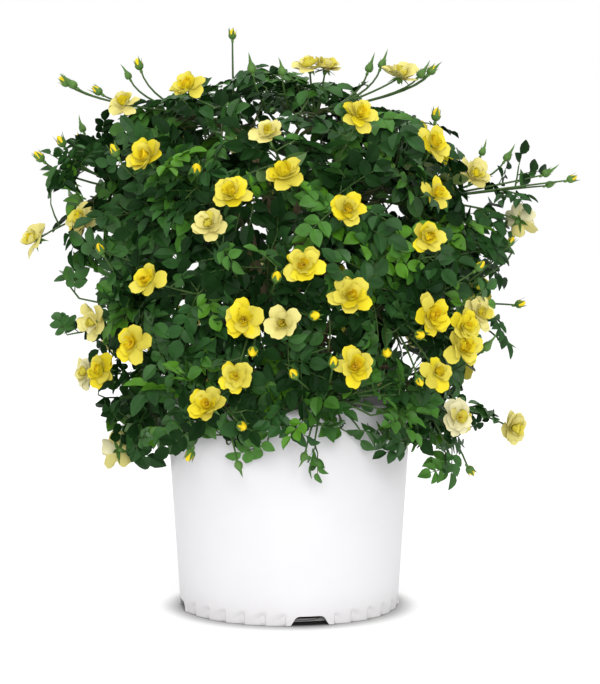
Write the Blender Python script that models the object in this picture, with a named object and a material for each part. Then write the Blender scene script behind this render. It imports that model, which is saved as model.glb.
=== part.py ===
"""A rose bush in a nursery pot: the pot, its root ball, a short main stem, canes and masses of foliage.

Metres, +Z up. The origin is the middle of the pot's flat underside, and the front of the bush is -Y.
A bearing is in degrees from the front, growing towards +X, and an "out" is how far a thing stands
beyond the bulk of the foliage.
"""

import math
import random

import bmesh
import bpy
import numpy as np
from mathutils import Matrix, Vector

MM = 0.001
CLEARANCE = 0.3 * MM
UP = Vector((0, 0, 1))
GOLDEN_ANGLE = 180 * (3 - math.sqrt(5))

# Pot: a moulded tub with a fluted foot and four drainage recesses.
POT_HEIGHT = 240 * MM
POT_FOOT_RADIUS = 124 * MM
POT_TOP_RADIUS = 139.5 * MM
POT_WALL = 2 * MM
POT_FLOOR = 2.5 * MM
LIP_HEIGHT = 9 * MM
LIP_PROUD = 2.5 * MM
FLUTES = 32
FLUTE_HEIGHT = 17 * MM
FLUTE_DEPTH = 1.6 * MM
POT_SEGMENTS = 2 * FLUTES
RECESS_BEARINGS = (11, 101, 191, 281)
RECESS_FOOT_WIDTH = 48 * MM
RECESS_TOP_WIDTH = 34 * MM
RECESS_HEIGHT = 10 * MM
RECESS_DEPTH = 22 * MM
RECESS_WALL = 2 * MM
DRAIN_RADIUS = 8.5 * MM

# Root ball and main stem.
SOIL_HEIGHT = 218 * MM
SOIL_FALL = 3 * MM
STEM_HEIGHT = 82 * MM
STEM_FLARE_RADIUS = 19 * MM
STEM_NECK_RADIUS = 14 * MM
STEM_TIP_RADIUS = 10 * MM
STEM_SEGMENTS = 12
STEM_LEAN = -0.05

# Bulk of the foliage: (height, radius) from the hem that hangs over the pot to the top.
CROWN_PROFILE = [
    (150 * MM, 165 * MM),
    (185 * MM, 195 * MM),
    (230 * MM, 210 * MM),
    (285 * MM, 221 * MM),
    (340 * MM, 232 * MM),
    (400 * MM, 233 * MM),
    (457 * MM, 224 * MM),
    (514 * MM, 208 * MM),
    (560 * MM, 188 * MM),
    (590 * MM, 150 * MM),
    (608 * MM, 80 * MM),
    (615 * MM, 0),
]
LEAN_START, LEAN_END = 440 * MM, 560 * MM
LEAN_LOW, LEAN_HIGH = 4 * MM, -24 * MM
LOWEST_LEAF = 126 * MM

# Outline that the leaves keep within: (height, radius) about an axis that leans to one side near the top.
LEAF_REACH = [
    (150 * MM, 186 * MM),
    (190 * MM, 204 * MM),
    (212 * MM, 224 * MM),
    (258 * MM, 228 * MM),
    (303 * MM, 233 * MM),
    (350 * MM, 246 * MM),
    (394 * MM, 264 * MM),
    (440 * MM, 280 * MM),
    (475 * MM, 270 * MM),
    (507 * MM, 255 * MM),
    (530 * MM, 236 * MM),
    (553 * MM, 214 * MM),
    (575 * MM, 186 * MM),
    (597 * MM, 134 * MM),
    (612 * MM, 60 * MM),
    (620 * MM, 0),
]
REACH_LEAN_START, REACH_LEAN_END = 480 * MM, 550 * MM
REACH_LEAN = -34 * MM
REACH_WAVE = 15 * MM
REACH_BEYOND = 0.85
REACH_SPARE = 9 * MM
HEM_BEYOND = 30 * MM
HEM_SPARE = 8 * MM
HEM_HEIGHT = 198 * MM
HEM_SIDE_DROP = 34 * MM
HEM_WAVE = 14 * MM

# Tiers of masses, each with one cane: (radius, height) of the mass's centre and of its cane's path.
TIERS = {
    "skirt": dict(
        masses=7, bearing=12, centre=(165 * MM, 225 * MM),
        root=(0, 228 * MM), bend=(62 * MM, 270 * MM), tip=(122 * MM, 268 * MM),
    ),
    "waist": dict(
        masses=7, bearing=37.7, centre=(150 * MM, 345 * MM),
        root=(0, 238 * MM), bend=(42 * MM, 292 * MM), tip=(76 * MM, 328 * MM),
    ),
    "shoulder": dict(
        masses=6, bearing=10, centre=(135 * MM, 465 * MM),
        root=(0, 250 * MM), bend=(38 * MM, 335 * MM), tip=(60 * MM, 432 * MM),
    ),
    "top": dict(
        masses=4, bearing=40, centre=(85 * MM, 565 * MM),
        root=(6.5 * MM, 288 * MM), bend=(14 * MM, 410 * MM), tip=(34 * MM, 522 * MM),
    ),
}
STAGGER = 14 * MM
CANE_RADIUS = 3.4 * MM
CANE_TIP_RADIUS = 2.7 * MM
CANE_SIDES = 5
CANE_RINGS = 5
SPACE_GAP = 1.6 * MM

# A mass's stem runs on from its cane into a dense heart, and twigs leave it at these shares of its length.
STEM_LEAD = 4 * MM
STEM_REACH = 0.62
STEM_END_RADIUS = 2.2 * MM
STEM_RINGS = 4
STEM_SIDES = 4
STEM_SPOTS = (0.25, 0.45, 0.65, 0.82, 0.96)
HEART_RADII = (50 * MM, 44 * MM, 38 * MM, 32 * MM, 26 * MM, 20 * MM)
MASS_SEED = 700

# Each shoot is a twig that ends in leaves or a bloom. "reach" is the size of its end, and "leaves" says at
# which shares of the twig its leaves stand.
SHOOT_KINDS = {
    "leafy": dict(reach=8 * MM, leaves=(0.96, 0.8, 0.62), leaf_size=1),
    "sprig": dict(reach=8 * MM, leaves=(0.96, 0.76), leaf_size=0.8),
    "blossom": dict(reach=22 * MM, leaves=(0.74,), leaf_size=0.85),
    "bud": dict(reach=14 * MM, leaves=(0.6,), leaf_size=0.55),
}
LEAFY_SHOOTS = 97
SHOOT_SPREAD = 7
SHOOT_OUT = (-36 * MM, -8 * MM)
SHOOT_SEED = 41
SHOOT_RADIUS = 1.4 * MM
SHOOT_TIP_RADIUS = 1.2 * MM
SHOOT_RINGS = 3
SHOOT_SIDES = 3
SHOOT_ARCH = 0.06

# Each leaf stands for one spray of real ones. A leaf that meets something tries other turns, then to lie
# flatter, then a smaller size, and is left out if none fits.
LEAF_LENGTH = 72 * MM
LEAF_WIDTH = 52 * MM
LEAF_THICKNESS = 2.2 * MM
LEAF_SUNK = 0.3 * MM
LEAF_WIDEST = 0.45
LEAF_UPTURN = 0.35
LEAF_LIFT = (4, 34)
LEAF_GROWTH = (0.84, 1.08)
LEAF_TRIES = [
    (turn, size, lie)
    for size in (1, 0.8)
    for lie in (1, 0.3, -0.4)
    for turn in (0, 50, -50, 100, -100, 150)
]
SAMPLE_STEP = 6 * MM
CROSSING_GAP = 5 * MM

BLOSSOM_RADIUS = 21 * MM
BLOSSOM_HEIGHT = 16 * MM
BLOSSOM_SIDES = 5
BUD_RADIUS = 7 * MM
BUD_LENGTH = 26 * MM
BUD_AHEAD = 6 * MM
BLOOM_UPTURN = 0.45

# Blooms of the back half follow a rule.
BACK_BLOOMS = 46
BACK_START = 92
BACK_SWEEP = 176
BACK_OUTS = (0, 4, 28, 0, 10, 45, 2)

# Blooms of the front half: (bearing, height in mm, out in mm).
BLOSSOMS = [
    (-31, 583, 0), (31, 553, 0), (-40, 509, 0), (57, 522, 0), (1, 490, 0), (-15, 472, 0),
    (45, 470, 0), (15, 455, 0), (38, 425, 0), (3, 399, 0), (-40, 380, 0), (15, 366, 0),
    (39, 344, 0), (-12, 343, 0), (53, 329, 0), (52, 306, 6), (-48, 312, 0), (17, 293, 0),
    (-15, 282, 0), (44, 280, 0), (-73, 274, 0), (-24, 251, 0), (34, 606, 4), (50, 606, 8),
    (67, 597, 36), (-58, 566, 0), (0, 533, 0), (77, 490, 0), (-84, 438, 9), (-22, 439, 0),
    (-88, 417, 58), (60, 341, 0), (-2, 339, 0), (85, 206, 45), (59, 228, 0), (-85, 180, 7),
    (85, 439, 28), (-69, 330, 0),
]
BUDS = [
    (-85, 590, 89), (-70, 606, 60), (-50, 640, 50), (-80, 580, 24), (-85, 522, 30), (-86, 506, 53),
    (74, 550, 0), (86, 484, 100), (80, 602, 78), (80, 346, 20), (26, 309, 0), (80, 163, 24),
    (-15, 231, 0), (-32, 200, 0),
]
# Leafy ends that stand out of the bulk.
SPRIGS = [
    (-86, 508, 34), (-86, 440, 28), (-88, 338, 18), (-84, 300, 14), (-80, 200, 30), (88, 417, 40),
    (80, 176, 34), (-19, 186, 0), (6, 180, 0), (80, 592, 44), (37, 196, 0), (170, 300, 30),
    (150, 430, 40), (205, 400, 45), (190, 520, 40), (185, 190, 30), (130, 205, 34), (235, 180, 36),
]


def crown_radius(height):
    heights, radii = zip(*CROWN_PROFILE)
    return float(np.interp(height, heights, radii))


def crown_lean(height):
    """How far the crown's axis stands to the side at a height."""
    share = min(1, max(0, (height - LEAN_START) / (LEAN_END - LEAN_START)))
    return LEAN_LOW + (LEAN_HIGH - LEAN_LOW) * share * share * (3 - 2 * share)


def around(bearing, radius, height):
    """A point by its bearing and radius about the crown's axis."""
    turn = math.radians(bearing)
    return Vector((crown_lean(height) + radius * math.sin(turn), -radius * math.cos(turn), height))


def crown_point(bearing, height, out):
    return around(bearing, crown_radius(height) + out, height)


def sunk_point(bearing, height, out):
    """A point that stands off the bulk's surface along its own slope."""
    return crown_point(bearing, height, 0) + crown_normal(bearing, height) * out


def crown_normal(bearing, height):
    """The direction that the crown's surface faces."""
    step = 6 * MM
    slope = (crown_radius(height + step) - crown_radius(height - step)) / (2 * step)
    turn = math.radians(bearing)
    return Vector((math.sin(turn), -math.cos(turn), -slope)).normalized()


def curve_points(start, bend, end, count):
    """Points along a quadratic curve."""
    return [
        start * (1 - t) ** 2 + bend * 2 * t * (1 - t) + end * t * t for t in np.linspace(0, 1, count)
    ]


def facing(direction, towards):
    """A rotation whose X is the direction and whose Z leans towards the other vector."""
    along = direction.normalized()
    across = towards.cross(along).normalized()
    return Matrix((along, across, along.cross(across))).transposed().to_4x4()


# ---------------------------------------------------------------- making objects


def clear_scene():
    for thing in list(bpy.data.objects):
        bpy.data.objects.remove(thing, do_unlink=True)


def make_material(name, colour, roughness, metallic=0.0):
    material = bpy.data.materials.new(name)
    material.use_nodes = True
    shader = material.node_tree.nodes["Principled BSDF"]
    shader.inputs["Base Color"].default_value = (*colour, 1)
    shader.inputs["Roughness"].default_value = roughness
    shader.inputs["Metallic"].default_value = metallic
    return material


def make_object(name, shape, material, smooth=False):
    """Turns a bmesh into a named object of the scene."""
    bmesh.ops.recalc_face_normals(shape, faces=shape.faces)
    mesh = bpy.data.meshes.new(name)
    shape.to_mesh(mesh)
    shape.free()
    mesh.materials.append(material)
    if smooth:
        mesh.shade_smooth()
        mesh.set_sharp_from_angle(angle=math.radians(35))
    thing = bpy.data.objects.new(name, mesh)
    bpy.context.scene.collection.objects.link(thing)
    return thing


def make_cutter(name, shape):
    cutter = make_object(name, shape, bpy.data.materials["guide"])
    cutter.hide_render = True
    cutter.display_type = "WIRE"
    return cutter


def add_boolean(thing, operation, cutter):
    step = thing.modifiers.new(cutter.name, "BOOLEAN")
    step.operation = operation
    step.solver = "EXACT"
    step.object = cutter


def turned(profile, segments):
    """A closed solid turned about Z from (radius, height) points that start and end on the axis."""
    shape = bmesh.new()
    corners = [shape.verts.new((radius, 0, height)) for radius, height in profile]
    edges = [shape.edges.new(pair) for pair in zip(corners, corners[1:])]
    bmesh.ops.spin(
        shape, geom=corners + edges, cent=(0, 0, 0), axis=UP, angle=math.tau, steps=segments, use_merge=True
    )
    bmesh.ops.remove_doubles(shape, verts=shape.verts, dist=0.01 * MM)
    return shape


def tube(shape, points, radii, sides):
    """Adds a closed tube with one radius at each point."""
    frames = []
    side = Vector((0.3, 1, 0.2))
    for index, point in enumerate(points):
        before, after = points[max(index - 1, 0)], points[min(index + 1, len(points) - 1)]
        along = (after - before).normalized()
        side = (side - along * side.dot(along)).normalized()
        turn = Matrix((side, along.cross(side), along)).transposed().to_4x4()
        frames.append(Matrix.Translation(point) @ turn)
    rings = []
    for index, (frame, radius) in enumerate(zip(frames, radii)):
        capped = index in (0, len(frames) - 1)
        ring = bmesh.ops.create_circle(shape, cap_ends=capped, segments=sides, radius=radius, matrix=frame)
        rings.append({edge for corner in ring["verts"] for edge in corner.link_edges})
    for lower, upper in zip(rings, rings[1:]):
        bmesh.ops.bridge_loops(shape, edges=list(lower | upper))


def taper(start, end, count):
    return [start + (end - start) * share for share in np.linspace(0, 1, count)]


# ---------------------------------------------------------------- pot and root ball


def pot_wall_radius(height):
    return POT_FOOT_RADIUS + (POT_TOP_RADIUS - POT_FOOT_RADIUS) * height / POT_HEIGHT


def around_pot(bearing):
    """Turns the +X direction to a bearing about the pot's axis."""
    return Matrix.Rotation(math.radians(bearing - 90), 4, "Z")


def recess_prism(shape, bearing, inner, outer, border):
    """Adds a drainage recess's four-sided prism, grown by a border, between two radii."""
    foot, top = RECESS_FOOT_WIDTH / 2 + border, RECESS_TOP_WIDTH / 2 + border
    low = POT_FLOOR / 2 if border else -POT_FLOOR
    outline = [(-foot, low), (foot, low), (top, RECESS_HEIGHT + border), (-top, RECESS_HEIGHT + border)]
    corners = [shape.verts.new((inner, across, height)) for across, height in outline]
    face = shape.faces.new(corners)
    grown = bmesh.ops.extrude_face_region(shape, geom=[face], use_keep_orig=True)["geom"]
    moved = [part for part in grown if isinstance(part, bmesh.types.BMVert)]
    bmesh.ops.translate(shape, verts=moved, vec=(outer - inner, 0, 0))
    bmesh.ops.transform(shape, matrix=around_pot(bearing), verts=corners + moved)


def make_pot(material):
    top = POT_TOP_RADIUS
    inside_foot = pot_wall_radius(POT_FLOOR) - POT_WALL
    shape = turned(
        [
            (0, 0),
            (POT_FOOT_RADIUS, 0),
            (pot_wall_radius(FLUTE_HEIGHT * 0.8), FLUTE_HEIGHT * 0.8),
            (pot_wall_radius(FLUTE_HEIGHT), FLUTE_HEIGHT),
            (pot_wall_radius(POT_HEIGHT - LIP_HEIGHT), POT_HEIGHT - LIP_HEIGHT),
            (top + LIP_PROUD, POT_HEIGHT - LIP_HEIGHT * 0.75),
            (top + LIP_PROUD, POT_HEIGHT - LIP_HEIGHT * 0.25),
            (top + LIP_PROUD / 2, POT_HEIGHT),
            (top - POT_WALL, POT_HEIGHT),
            (inside_foot, POT_FLOOR),
            (0, POT_FLOOR),
        ],
        POT_SEGMENTS,
    )
    foot_step = math.tau / POT_SEGMENTS
    for corner in shape.verts:
        radius = corner.co.xy.length
        if corner.co.z < FLUTE_HEIGHT * 0.9 and radius > inside_foot + POT_WALL / 2:
            groove = round(math.atan2(corner.co.y, corner.co.x) / foot_step) % 2
            corner.co.xy *= 1 - groove * FLUTE_DEPTH / radius
    pot = make_object("pot", shape, material, smooth=True)

    inner = POT_FOOT_RADIUS - RECESS_DEPTH
    housings, recesses, drains = bmesh.new(), bmesh.new(), bmesh.new()
    for bearing in RECESS_BEARINGS:
        recess_prism(housings, bearing, inner - RECESS_WALL, POT_FOOT_RADIUS - POT_WALL / 2, RECESS_WALL)
        recess_prism(recesses, bearing, inner, POT_FOOT_RADIUS * 1.1, 0)
        spot = around_pot(bearing) @ Vector((inner + RECESS_DEPTH / 2, 0, RECESS_HEIGHT + RECESS_WALL / 2))
        bmesh.ops.create_cone(
            drains, cap_ends=True, segments=12, radius1=DRAIN_RADIUS, radius2=DRAIN_RADIUS,
            depth=4 * RECESS_WALL, matrix=Matrix.Translation(spot),
        )
    add_boolean(pot, "UNION", make_cutter("recess_housings", housings))
    add_boolean(pot, "DIFFERENCE", make_cutter("recesses", recesses))
    add_boolean(pot, "DIFFERENCE", make_cutter("drain_holes", drains))
    return pot


def make_root_ball(material):
    """Potting mix that fills the pot and steps in over the drainage recesses."""
    floor = POT_FLOOR + CLEARANCE
    shoulder = RECESS_HEIGHT + RECESS_WALL + CLEARANCE
    foot = POT_FOOT_RADIUS - RECESS_DEPTH - RECESS_WALL - CLEARANCE

    def reach(height):
        return pot_wall_radius(height) - POT_WALL - 2 * CLEARANCE

    edge = SOIL_HEIGHT - SOIL_FALL
    profile = [(0, floor), (foot, floor), (foot, shoulder), (reach(shoulder), shoulder)]
    profile += [(reach(edge), edge), (reach(edge) * 0.7, SOIL_HEIGHT), (0, SOIL_HEIGHT)]
    return make_object("root_ball", turned(profile, POT_SEGMENTS // 2), material)


# ---------------------------------------------------------------- stem and canes


def stem_profile(border):
    """The main stem's outline, grown by a border."""
    foot = SOIL_HEIGHT + CLEARANCE - border
    top = SOIL_HEIGHT + STEM_HEIGHT + border
    return [
        (0, foot),
        (STEM_FLARE_RADIUS + border, foot),
        (STEM_NECK_RADIUS + border, SOIL_HEIGHT + STEM_HEIGHT * 0.18),
        (STEM_TIP_RADIUS + border, top - border - 3 * MM),
        (STEM_TIP_RADIUS * 0.6 + border, top),
        (0, top),
    ]


def stem_shape(border=0.0):
    shape = turned(stem_profile(border), STEM_SEGMENTS)
    for corner in shape.verts:
        corner.co.x += (corner.co.z - SOIL_HEIGHT) * STEM_LEAN
    return shape


def plan_masses():
    """Every mass: its name, its centre and the path of the cane that carries it."""
    masses = []
    for tier, plan in TIERS.items():
        for index in range(plan["masses"]):
            bearing = plan["bearing"] + 360 * index / plan["masses"]
            radius, height = plan["centre"]
            height += STAGGER * (-1) ** index
            root = around(bearing, *plan["root"])
            root.x += (root.z - SOIL_HEIGHT) * STEM_LEAN - LEAN_LOW
            bend = around(bearing, *plan["bend"])
            tip = around(bearing, *plan["tip"])
            masses.append(
                dict(
                    name=f"{tier}_{index + 1}",
                    centre=around(bearing, radius, height),
                    cane=curve_points(root, bend, tip, CANE_RINGS),
                )
            )
    return masses


def make_cane(mass, clearing, material):
    shape = bmesh.new()
    tube(shape, mass["cane"], taper(CANE_RADIUS, CANE_TIP_RADIUS, CANE_RINGS), CANE_SIDES)
    cane = make_object("cane_" + mass["name"], shape, material, smooth=True)
    add_boolean(cane, "DIFFERENCE", clearing)
    return cane


# ---------------------------------------------------------------- growth rule


def plan_shoots():
    """Every shoot's bearing, height, out and kind: leafy ones spread evenly by area, then the placed ones."""
    chance = random.Random(SHOOT_SEED)
    heights = np.linspace(CROWN_PROFILE[0][0], CROWN_PROFILE[-1][0], 400)
    radii = np.array([crown_radius(height) for height in heights])
    area = np.cumsum(radii * np.hypot(np.gradient(radii), np.gradient(heights)))
    area /= area[-1]
    shoots = []
    for index in range(LEAFY_SHOOTS):
        bearing = index * GOLDEN_ANGLE + chance.uniform(-SHOOT_SPREAD, SHOOT_SPREAD)
        height = float(np.interp((index + 0.5) / LEAFY_SHOOTS, area, heights))
        out = chance.uniform(*SHOOT_OUT)
        shoots.append((bearing, height, out, "leafy"))
    shoots += [(bearing, height * MM, out * MM, "sprig") for bearing, height, out in SPRIGS]
    shoots += [(bearing, height * MM, out * MM, "blossom") for bearing, height, out in BLOSSOMS]
    shoots += [(bearing, height * MM, out * MM, "bud") for bearing, height, out in BUDS]
    for index in range(BACK_BLOOMS):
        bearing = BACK_START + BACK_SWEEP * (index * GOLDEN_ANGLE / 360 % 1)
        height = float(np.interp((index + 0.5) / BACK_BLOOMS, area, heights))
        out = BACK_OUTS[index % len(BACK_OUTS)] * MM
        shoots.append((bearing, height, out, "bud" if out > 20 * MM else "blossom"))
    return shoots


def room_of(mass, masses):
    """The flat walls of a mass's own space, midway to every other mass."""
    walls = [other["centre"] - mass["centre"] for other in masses if other is not mass]
    normals = [wall.normalized() for wall in walls]
    limits = [
        (mass["centre"] + wall / 2).dot(normal) - SPACE_GAP / 2 for wall, normal in zip(walls, normals)
    ]
    return np.array(normals), np.array(limits)


def nudged(point, reach, room):
    """The point, moved just far enough from the walls of its space for a thing of that reach."""
    normals, limits = room
    moved = np.array(point)
    for _ in range(8):
        excess = normals @ moved + reach - limits
        worst = int(np.argmax(excess))
        if excess[worst] <= 0:
            break
        moved -= normals[worst] * (excess[worst] + 0.01 * MM)
    return Vector(moved)


def cane_segments(masses):
    starts = np.array([point for mass in masses for point in mass["cane"][:-1]])
    ends = np.array([point for mass in masses for point in mass["cane"][1:]])
    return starts, ends


def nearest_cane(points, segments):
    """The least distance from any of the points to any cane's centre line."""
    starts, ends = segments
    spans = ends - starts
    share = np.einsum("psk,sk->ps", points[:, None] - starts, spans) / (spans**2).sum(axis=1)
    closest = starts + np.clip(share, 0, 1)[..., None] * spans
    return np.linalg.norm(points[:, None] - closest, axis=2).min()


def fits(points, thick, room, segments):
    """Whether a thing near these points stays in its space, clear of canes, stem, pot and ground."""
    normals, limits = room
    points = np.array(points)
    slack = thick + SAMPLE_STEP / 2
    radius = np.hypot(points[:, 0], points[:, 1])
    height = points[:, 2]
    in_room = (points @ normals.T < limits - thick).all()
    off_ground = height.min() > LOWEST_LEAF
    off_pot = (radius[height < POT_HEIGHT + slack] > POT_TOP_RADIUS + LIP_PROUD + slack).all()
    off_stem = (radius[height < SOIL_HEIGHT + STEM_HEIGHT + slack] > STEM_FLARE_RADIUS + slack).all()
    off_canes = nearest_cane(points, segments) > CANE_RADIUS + slack
    return bool(in_room and off_ground and off_pot and off_stem and off_canes)


def ball_fits(centre, radius, room, segments):
    """Whether a ball keeps to the space and clear of the canes."""
    rim = [
        centre + Vector((radius * math.cos(rise), 0, radius * math.sin(rise)))
        @ Matrix.Rotation(turn, 3, "Z")
        for turn in np.linspace(0, math.tau, 13)
        for rise in np.linspace(-math.pi / 2, math.pi / 2, 7)
    ]
    clear = nearest_cane(np.array([centre]), segments) > radius + CANE_RADIUS
    return clear and fits(rim, CLEARANCE, room, segments)


def along(path, share):
    """The point at a share of the way along a path of evenly spaced points."""
    place = share * (len(path) - 1)
    index = min(int(place), len(path) - 2)
    return path[index].lerp(path[index + 1], place - index)


def samples_of(path):
    steps = max(2, math.ceil((path[-1] - path[0]).length / SAMPLE_STEP))
    return [along(path, share) for share in np.linspace(0, 1, steps + 1)]


def leaf_half_width(share, length):
    """Half of a leaf's width at a share of its length."""
    width = LEAF_WIDTH * length / LEAF_LENGTH
    return width / 2 * min(share / LEAF_WIDEST, (1 - share) / (1 - LEAF_WIDEST))


def leaf_samples(place, length):
    """Points over a leaf's blade, clear of its foot."""
    points = []
    for share in np.linspace(0.15, 1, 9):
        half = leaf_half_width(share, length)
        points += [place @ Vector((share * length, half * side, 0)) for side in np.linspace(-1, 1, 7)]
    return points


def bloom_samples(kind, place):
    """Points round a bloom's rim, or along a bud."""
    if kind == "bud":
        return [place @ Vector((0, 0, BUD_LENGTH / 2 * share)) for share in (-1, 0, 1)]
    return [
        place @ (BLOSSOM_RADIUS * Vector((math.cos(turn), math.sin(turn), 0)))
        for turn in np.linspace(0, math.tau, 12, endpoint=False)
    ]


def within_outline(points, beyond, below):
    """Whether points all keep within the bulk's wavy outline and above its hem, but for what is allowed."""
    points = np.array(points)
    height = points[..., 2]
    share = np.clip((height - REACH_LEAN_START) / (REACH_LEAN_END - REACH_LEAN_START), 0, 1)
    across = points[..., 0] - REACH_LEAN * share * share * (3 - 2 * share)
    turn = np.arctan2(across, -points[..., 1])
    wave = 0.6 * np.sin(turn * 7 + height * 38) + 0.4 * np.sin(turn * 13 - height * 61 + 2)
    reach = np.interp(height, *zip(*LEAF_REACH)) + REACH_WAVE * wave + beyond
    ripple = (np.sin(turn * 5 + 0.6) + 0.7 * np.sin(turn * 11 + 2)) / 1.7
    hem = HEM_HEIGHT - HEM_SIDE_DROP * np.abs(np.sin(turn)) + HEM_WAVE * ripple - below
    return bool(((np.hypot(across, points[..., 1]) < reach) & (height > hem)).all())


def crosses(points, placed):
    """Whether any of the points comes near one of the arrays of points already placed."""
    points = np.array(points)
    return any(
        np.linalg.norm(points[:, None] - others[None], axis=2).min() < CROSSING_GAP for others in placed
    )


def leaf_place(foot, bearing, height, spin, lift):
    """Where a leaf stands: its foot, its way along the crown's surface and its face to the outside."""
    turn = math.radians(bearing)
    normal = crown_normal(bearing, height)
    level = Vector((math.cos(turn), math.sin(turn), 0))
    rising = normal.cross(level)
    spin = math.radians(spin)
    lift = math.radians(lift)
    flat = level * math.cos(spin) + rising * math.sin(spin)
    direction = flat * math.cos(lift) + normal * math.sin(lift)
    return Matrix.Translation(foot) @ facing(direction, normal + UP * LEAF_UPTURN)


def grow_mass(mass, index, shoots, room, segments):
    """The pieces of a mass: its stem, then for each shoot that fits a twig, its leaves and its bloom."""
    chance = random.Random(MASS_SEED + index)
    tips = [
        nudged((sunk_point if kind == "leafy" else crown_point)(*place), SHOOT_KINDS[kind]["reach"], room)
        for *place, kind in shoots
    ]
    way = (mass["cane"][-1] - mass["cane"][-2]).normalized()
    start = mass["cane"][-1] + way * CLEARANCE
    heart = start.lerp(sum(tips, Vector()) / len(tips), STEM_REACH)
    bend = start + way * (heart - start).length * 0.4
    stem = curve_points(start + way * STEM_LEAD, bend, heart, STEM_RINGS)
    pieces = [("stem", [start] + stem, taper(CANE_TIP_RADIUS, STEM_END_RADIUS, STEM_RINGS + 1))]
    for radius in HEART_RADII:
        if ball_fits(heart, radius, room, segments):
            pieces.append(("heart", Matrix.Translation(heart), radius))
            break
    spots = [along(stem, share) for share in STEM_SPOTS]
    grown = []
    for (bearing, height, out, kind), tip in zip(shoots, tips):
        low_end = kind != "leafy" and height < 205 * MM
        limits = (REACH_SPARE + max(0, out) * REACH_BEYOND, HEM_SPARE + (HEM_BEYOND if low_end else 0))
        aim = tip.lerp(start, 0.4)
        spot = min(spots, key=lambda place: (place - aim).length)
        arch = spot.lerp(tip, 0.5) + UP * (tip - spot).length * SHOOT_ARCH
        twig = curve_points(spot, arch, tip, SHOOT_RINGS)
        within = kind != "leafy" or within_outline(tip, *limits)
        if not within or not fits(samples_of(twig), SHOOT_RADIUS, room, segments):
            continue
        pieces.append(("twig", twig, taper(SHOOT_RADIUS, SHOOT_TIP_RADIUS, SHOOT_RINGS)))
        bloom = []
        if kind in ("blossom", "bud"):
            towards = crown_normal(bearing, height) + UP * BLOOM_UPTURN
            if kind == "bud":
                towards = (tip - spot).normalized() + UP * BLOOM_UPTURN
            turn = towards.to_track_quat("Z", "Y").to_matrix().to_4x4()
            ahead = BUD_AHEAD if kind == "bud" else 0
            place = Matrix.Translation(tip) @ turn @ Matrix.Translation((0, 0, ahead))
            pieces.append((kind, place))
            bloom = bloom_samples(kind, place)
        grown.append((bearing, height, kind, limits, twig, np.array(samples_of(twig) + bloom)))
    placed = [samples for *_, samples in grown]
    for order, (bearing, height, kind, limits, twig, samples) in enumerate(grown):
        spin = order * GOLDEN_ANGLE + chance.uniform(-25, 25)
        for step, share in enumerate(SHOOT_KINDS[kind]["leaves"]):
            lift = chance.uniform(*LEAF_LIFT)
            full_length = LEAF_LENGTH * SHOOT_KINDS[kind]["leaf_size"] * chance.uniform(*LEAF_GROWTH)
            foot = along(twig, share)
            for turn, size, lie in LEAF_TRIES:
                length = full_length * size
                place = leaf_place(foot, bearing, height, spin + step * GOLDEN_ANGLE + turn, lift * lie)
                blade = leaf_samples(place, length)
                near = [others for others in placed if others is not samples]
                if not within_outline(blade, *limits):
                    continue
                if fits(blade, LEAF_THICKNESS / 2, room, segments) and not crosses(blade, near):
                    pieces.append(("leaf", place, length))
                    placed.append(np.array(blade))
                    break
    return pieces


# ---------------------------------------------------------------- masses as solids


def two_ended(shape, sides, place, scale, shift=lambda corner: 0):
    """Adds a body of two pyramids foot to foot, squashed to a scale, with its corners shifted along X."""
    body = bmesh.ops.create_uvsphere(shape, u_segments=sides, v_segments=2, radius=1)["verts"]
    for corner in body:
        corner.co = Vector(a * b for a, b in zip(corner.co, scale))
        corner.co.x += shift(corner.co)
        corner.co = place @ corner.co


def piece_shape(piece):
    """A closed shape for one piece of a mass."""
    shape = bmesh.new()
    kind, place, *size = piece
    if kind == "heart":
        bmesh.ops.create_icosphere(shape, subdivisions=1, radius=size[0], matrix=place)
    elif kind in ("stem", "twig"):
        tube(shape, place, size[0], SHOOT_SIDES if kind == "twig" else STEM_SIDES)
    elif kind == "leaf":
        length = size[0]
        widest = (LEAF_WIDEST - 0.5) * length
        two_ended(
            shape, 4, place, (length / 2, LEAF_WIDTH / 2 * length / LEAF_LENGTH, LEAF_THICKNESS / 2),
            lambda corner: length / 2 - LEAF_SUNK + (widest if abs(corner.x) < length / 4 else 0),
        )
    elif kind == "blossom":
        two_ended(shape, BLOSSOM_SIDES, place, (BLOSSOM_RADIUS, BLOSSOM_RADIUS, BLOSSOM_HEIGHT / 2))
    else:
        two_ended(shape, 4, place, (BUD_RADIUS, BUD_RADIUS, BUD_LENGTH / 2))
    return shape


def joined(base, others, solver):
    """The mesh of one solid made from a base object and the others that meet it."""
    group = bpy.data.collections.new("joined_pieces")
    bpy.context.scene.collection.children.link(group)
    for other in others:
        bpy.context.scene.collection.objects.unlink(other)
        group.objects.link(other)
    step = base.modifiers.new("join", "BOOLEAN")
    step.operation = "UNION"
    step.operand_type = "COLLECTION"
    step.collection = group
    step.solver = solver
    result = bpy.data.meshes.new_from_object(base.evaluated_get(bpy.context.evaluated_depsgraph_get()))
    for other in others:
        bpy.data.objects.remove(other, do_unlink=True)
    bpy.data.collections.remove(group)
    base.modifiers.remove(step)
    return result


def keep_main_shell(mesh):
    """Drops loose scraps and sealed hollows, and leaves the largest shell."""
    shape = bmesh.new()
    shape.from_mesh(mesh)
    unseen = set(shape.faces)
    shells = []
    while unseen:
        shell, edge = set(), [unseen.pop()]
        while edge:
            face = edge.pop()
            shell.add(face)
            for neighbour in {other for side in face.edges for other in side.link_faces} & unseen:
                unseen.discard(neighbour)
                edge.append(neighbour)
        shells.append(shell)
    shells.sort(key=len)
    bmesh.ops.delete(shape, geom=[face for shell in shells[:-1] for face in shell], context="FACES")
    shape.to_mesh(mesh)
    shape.free()


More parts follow.
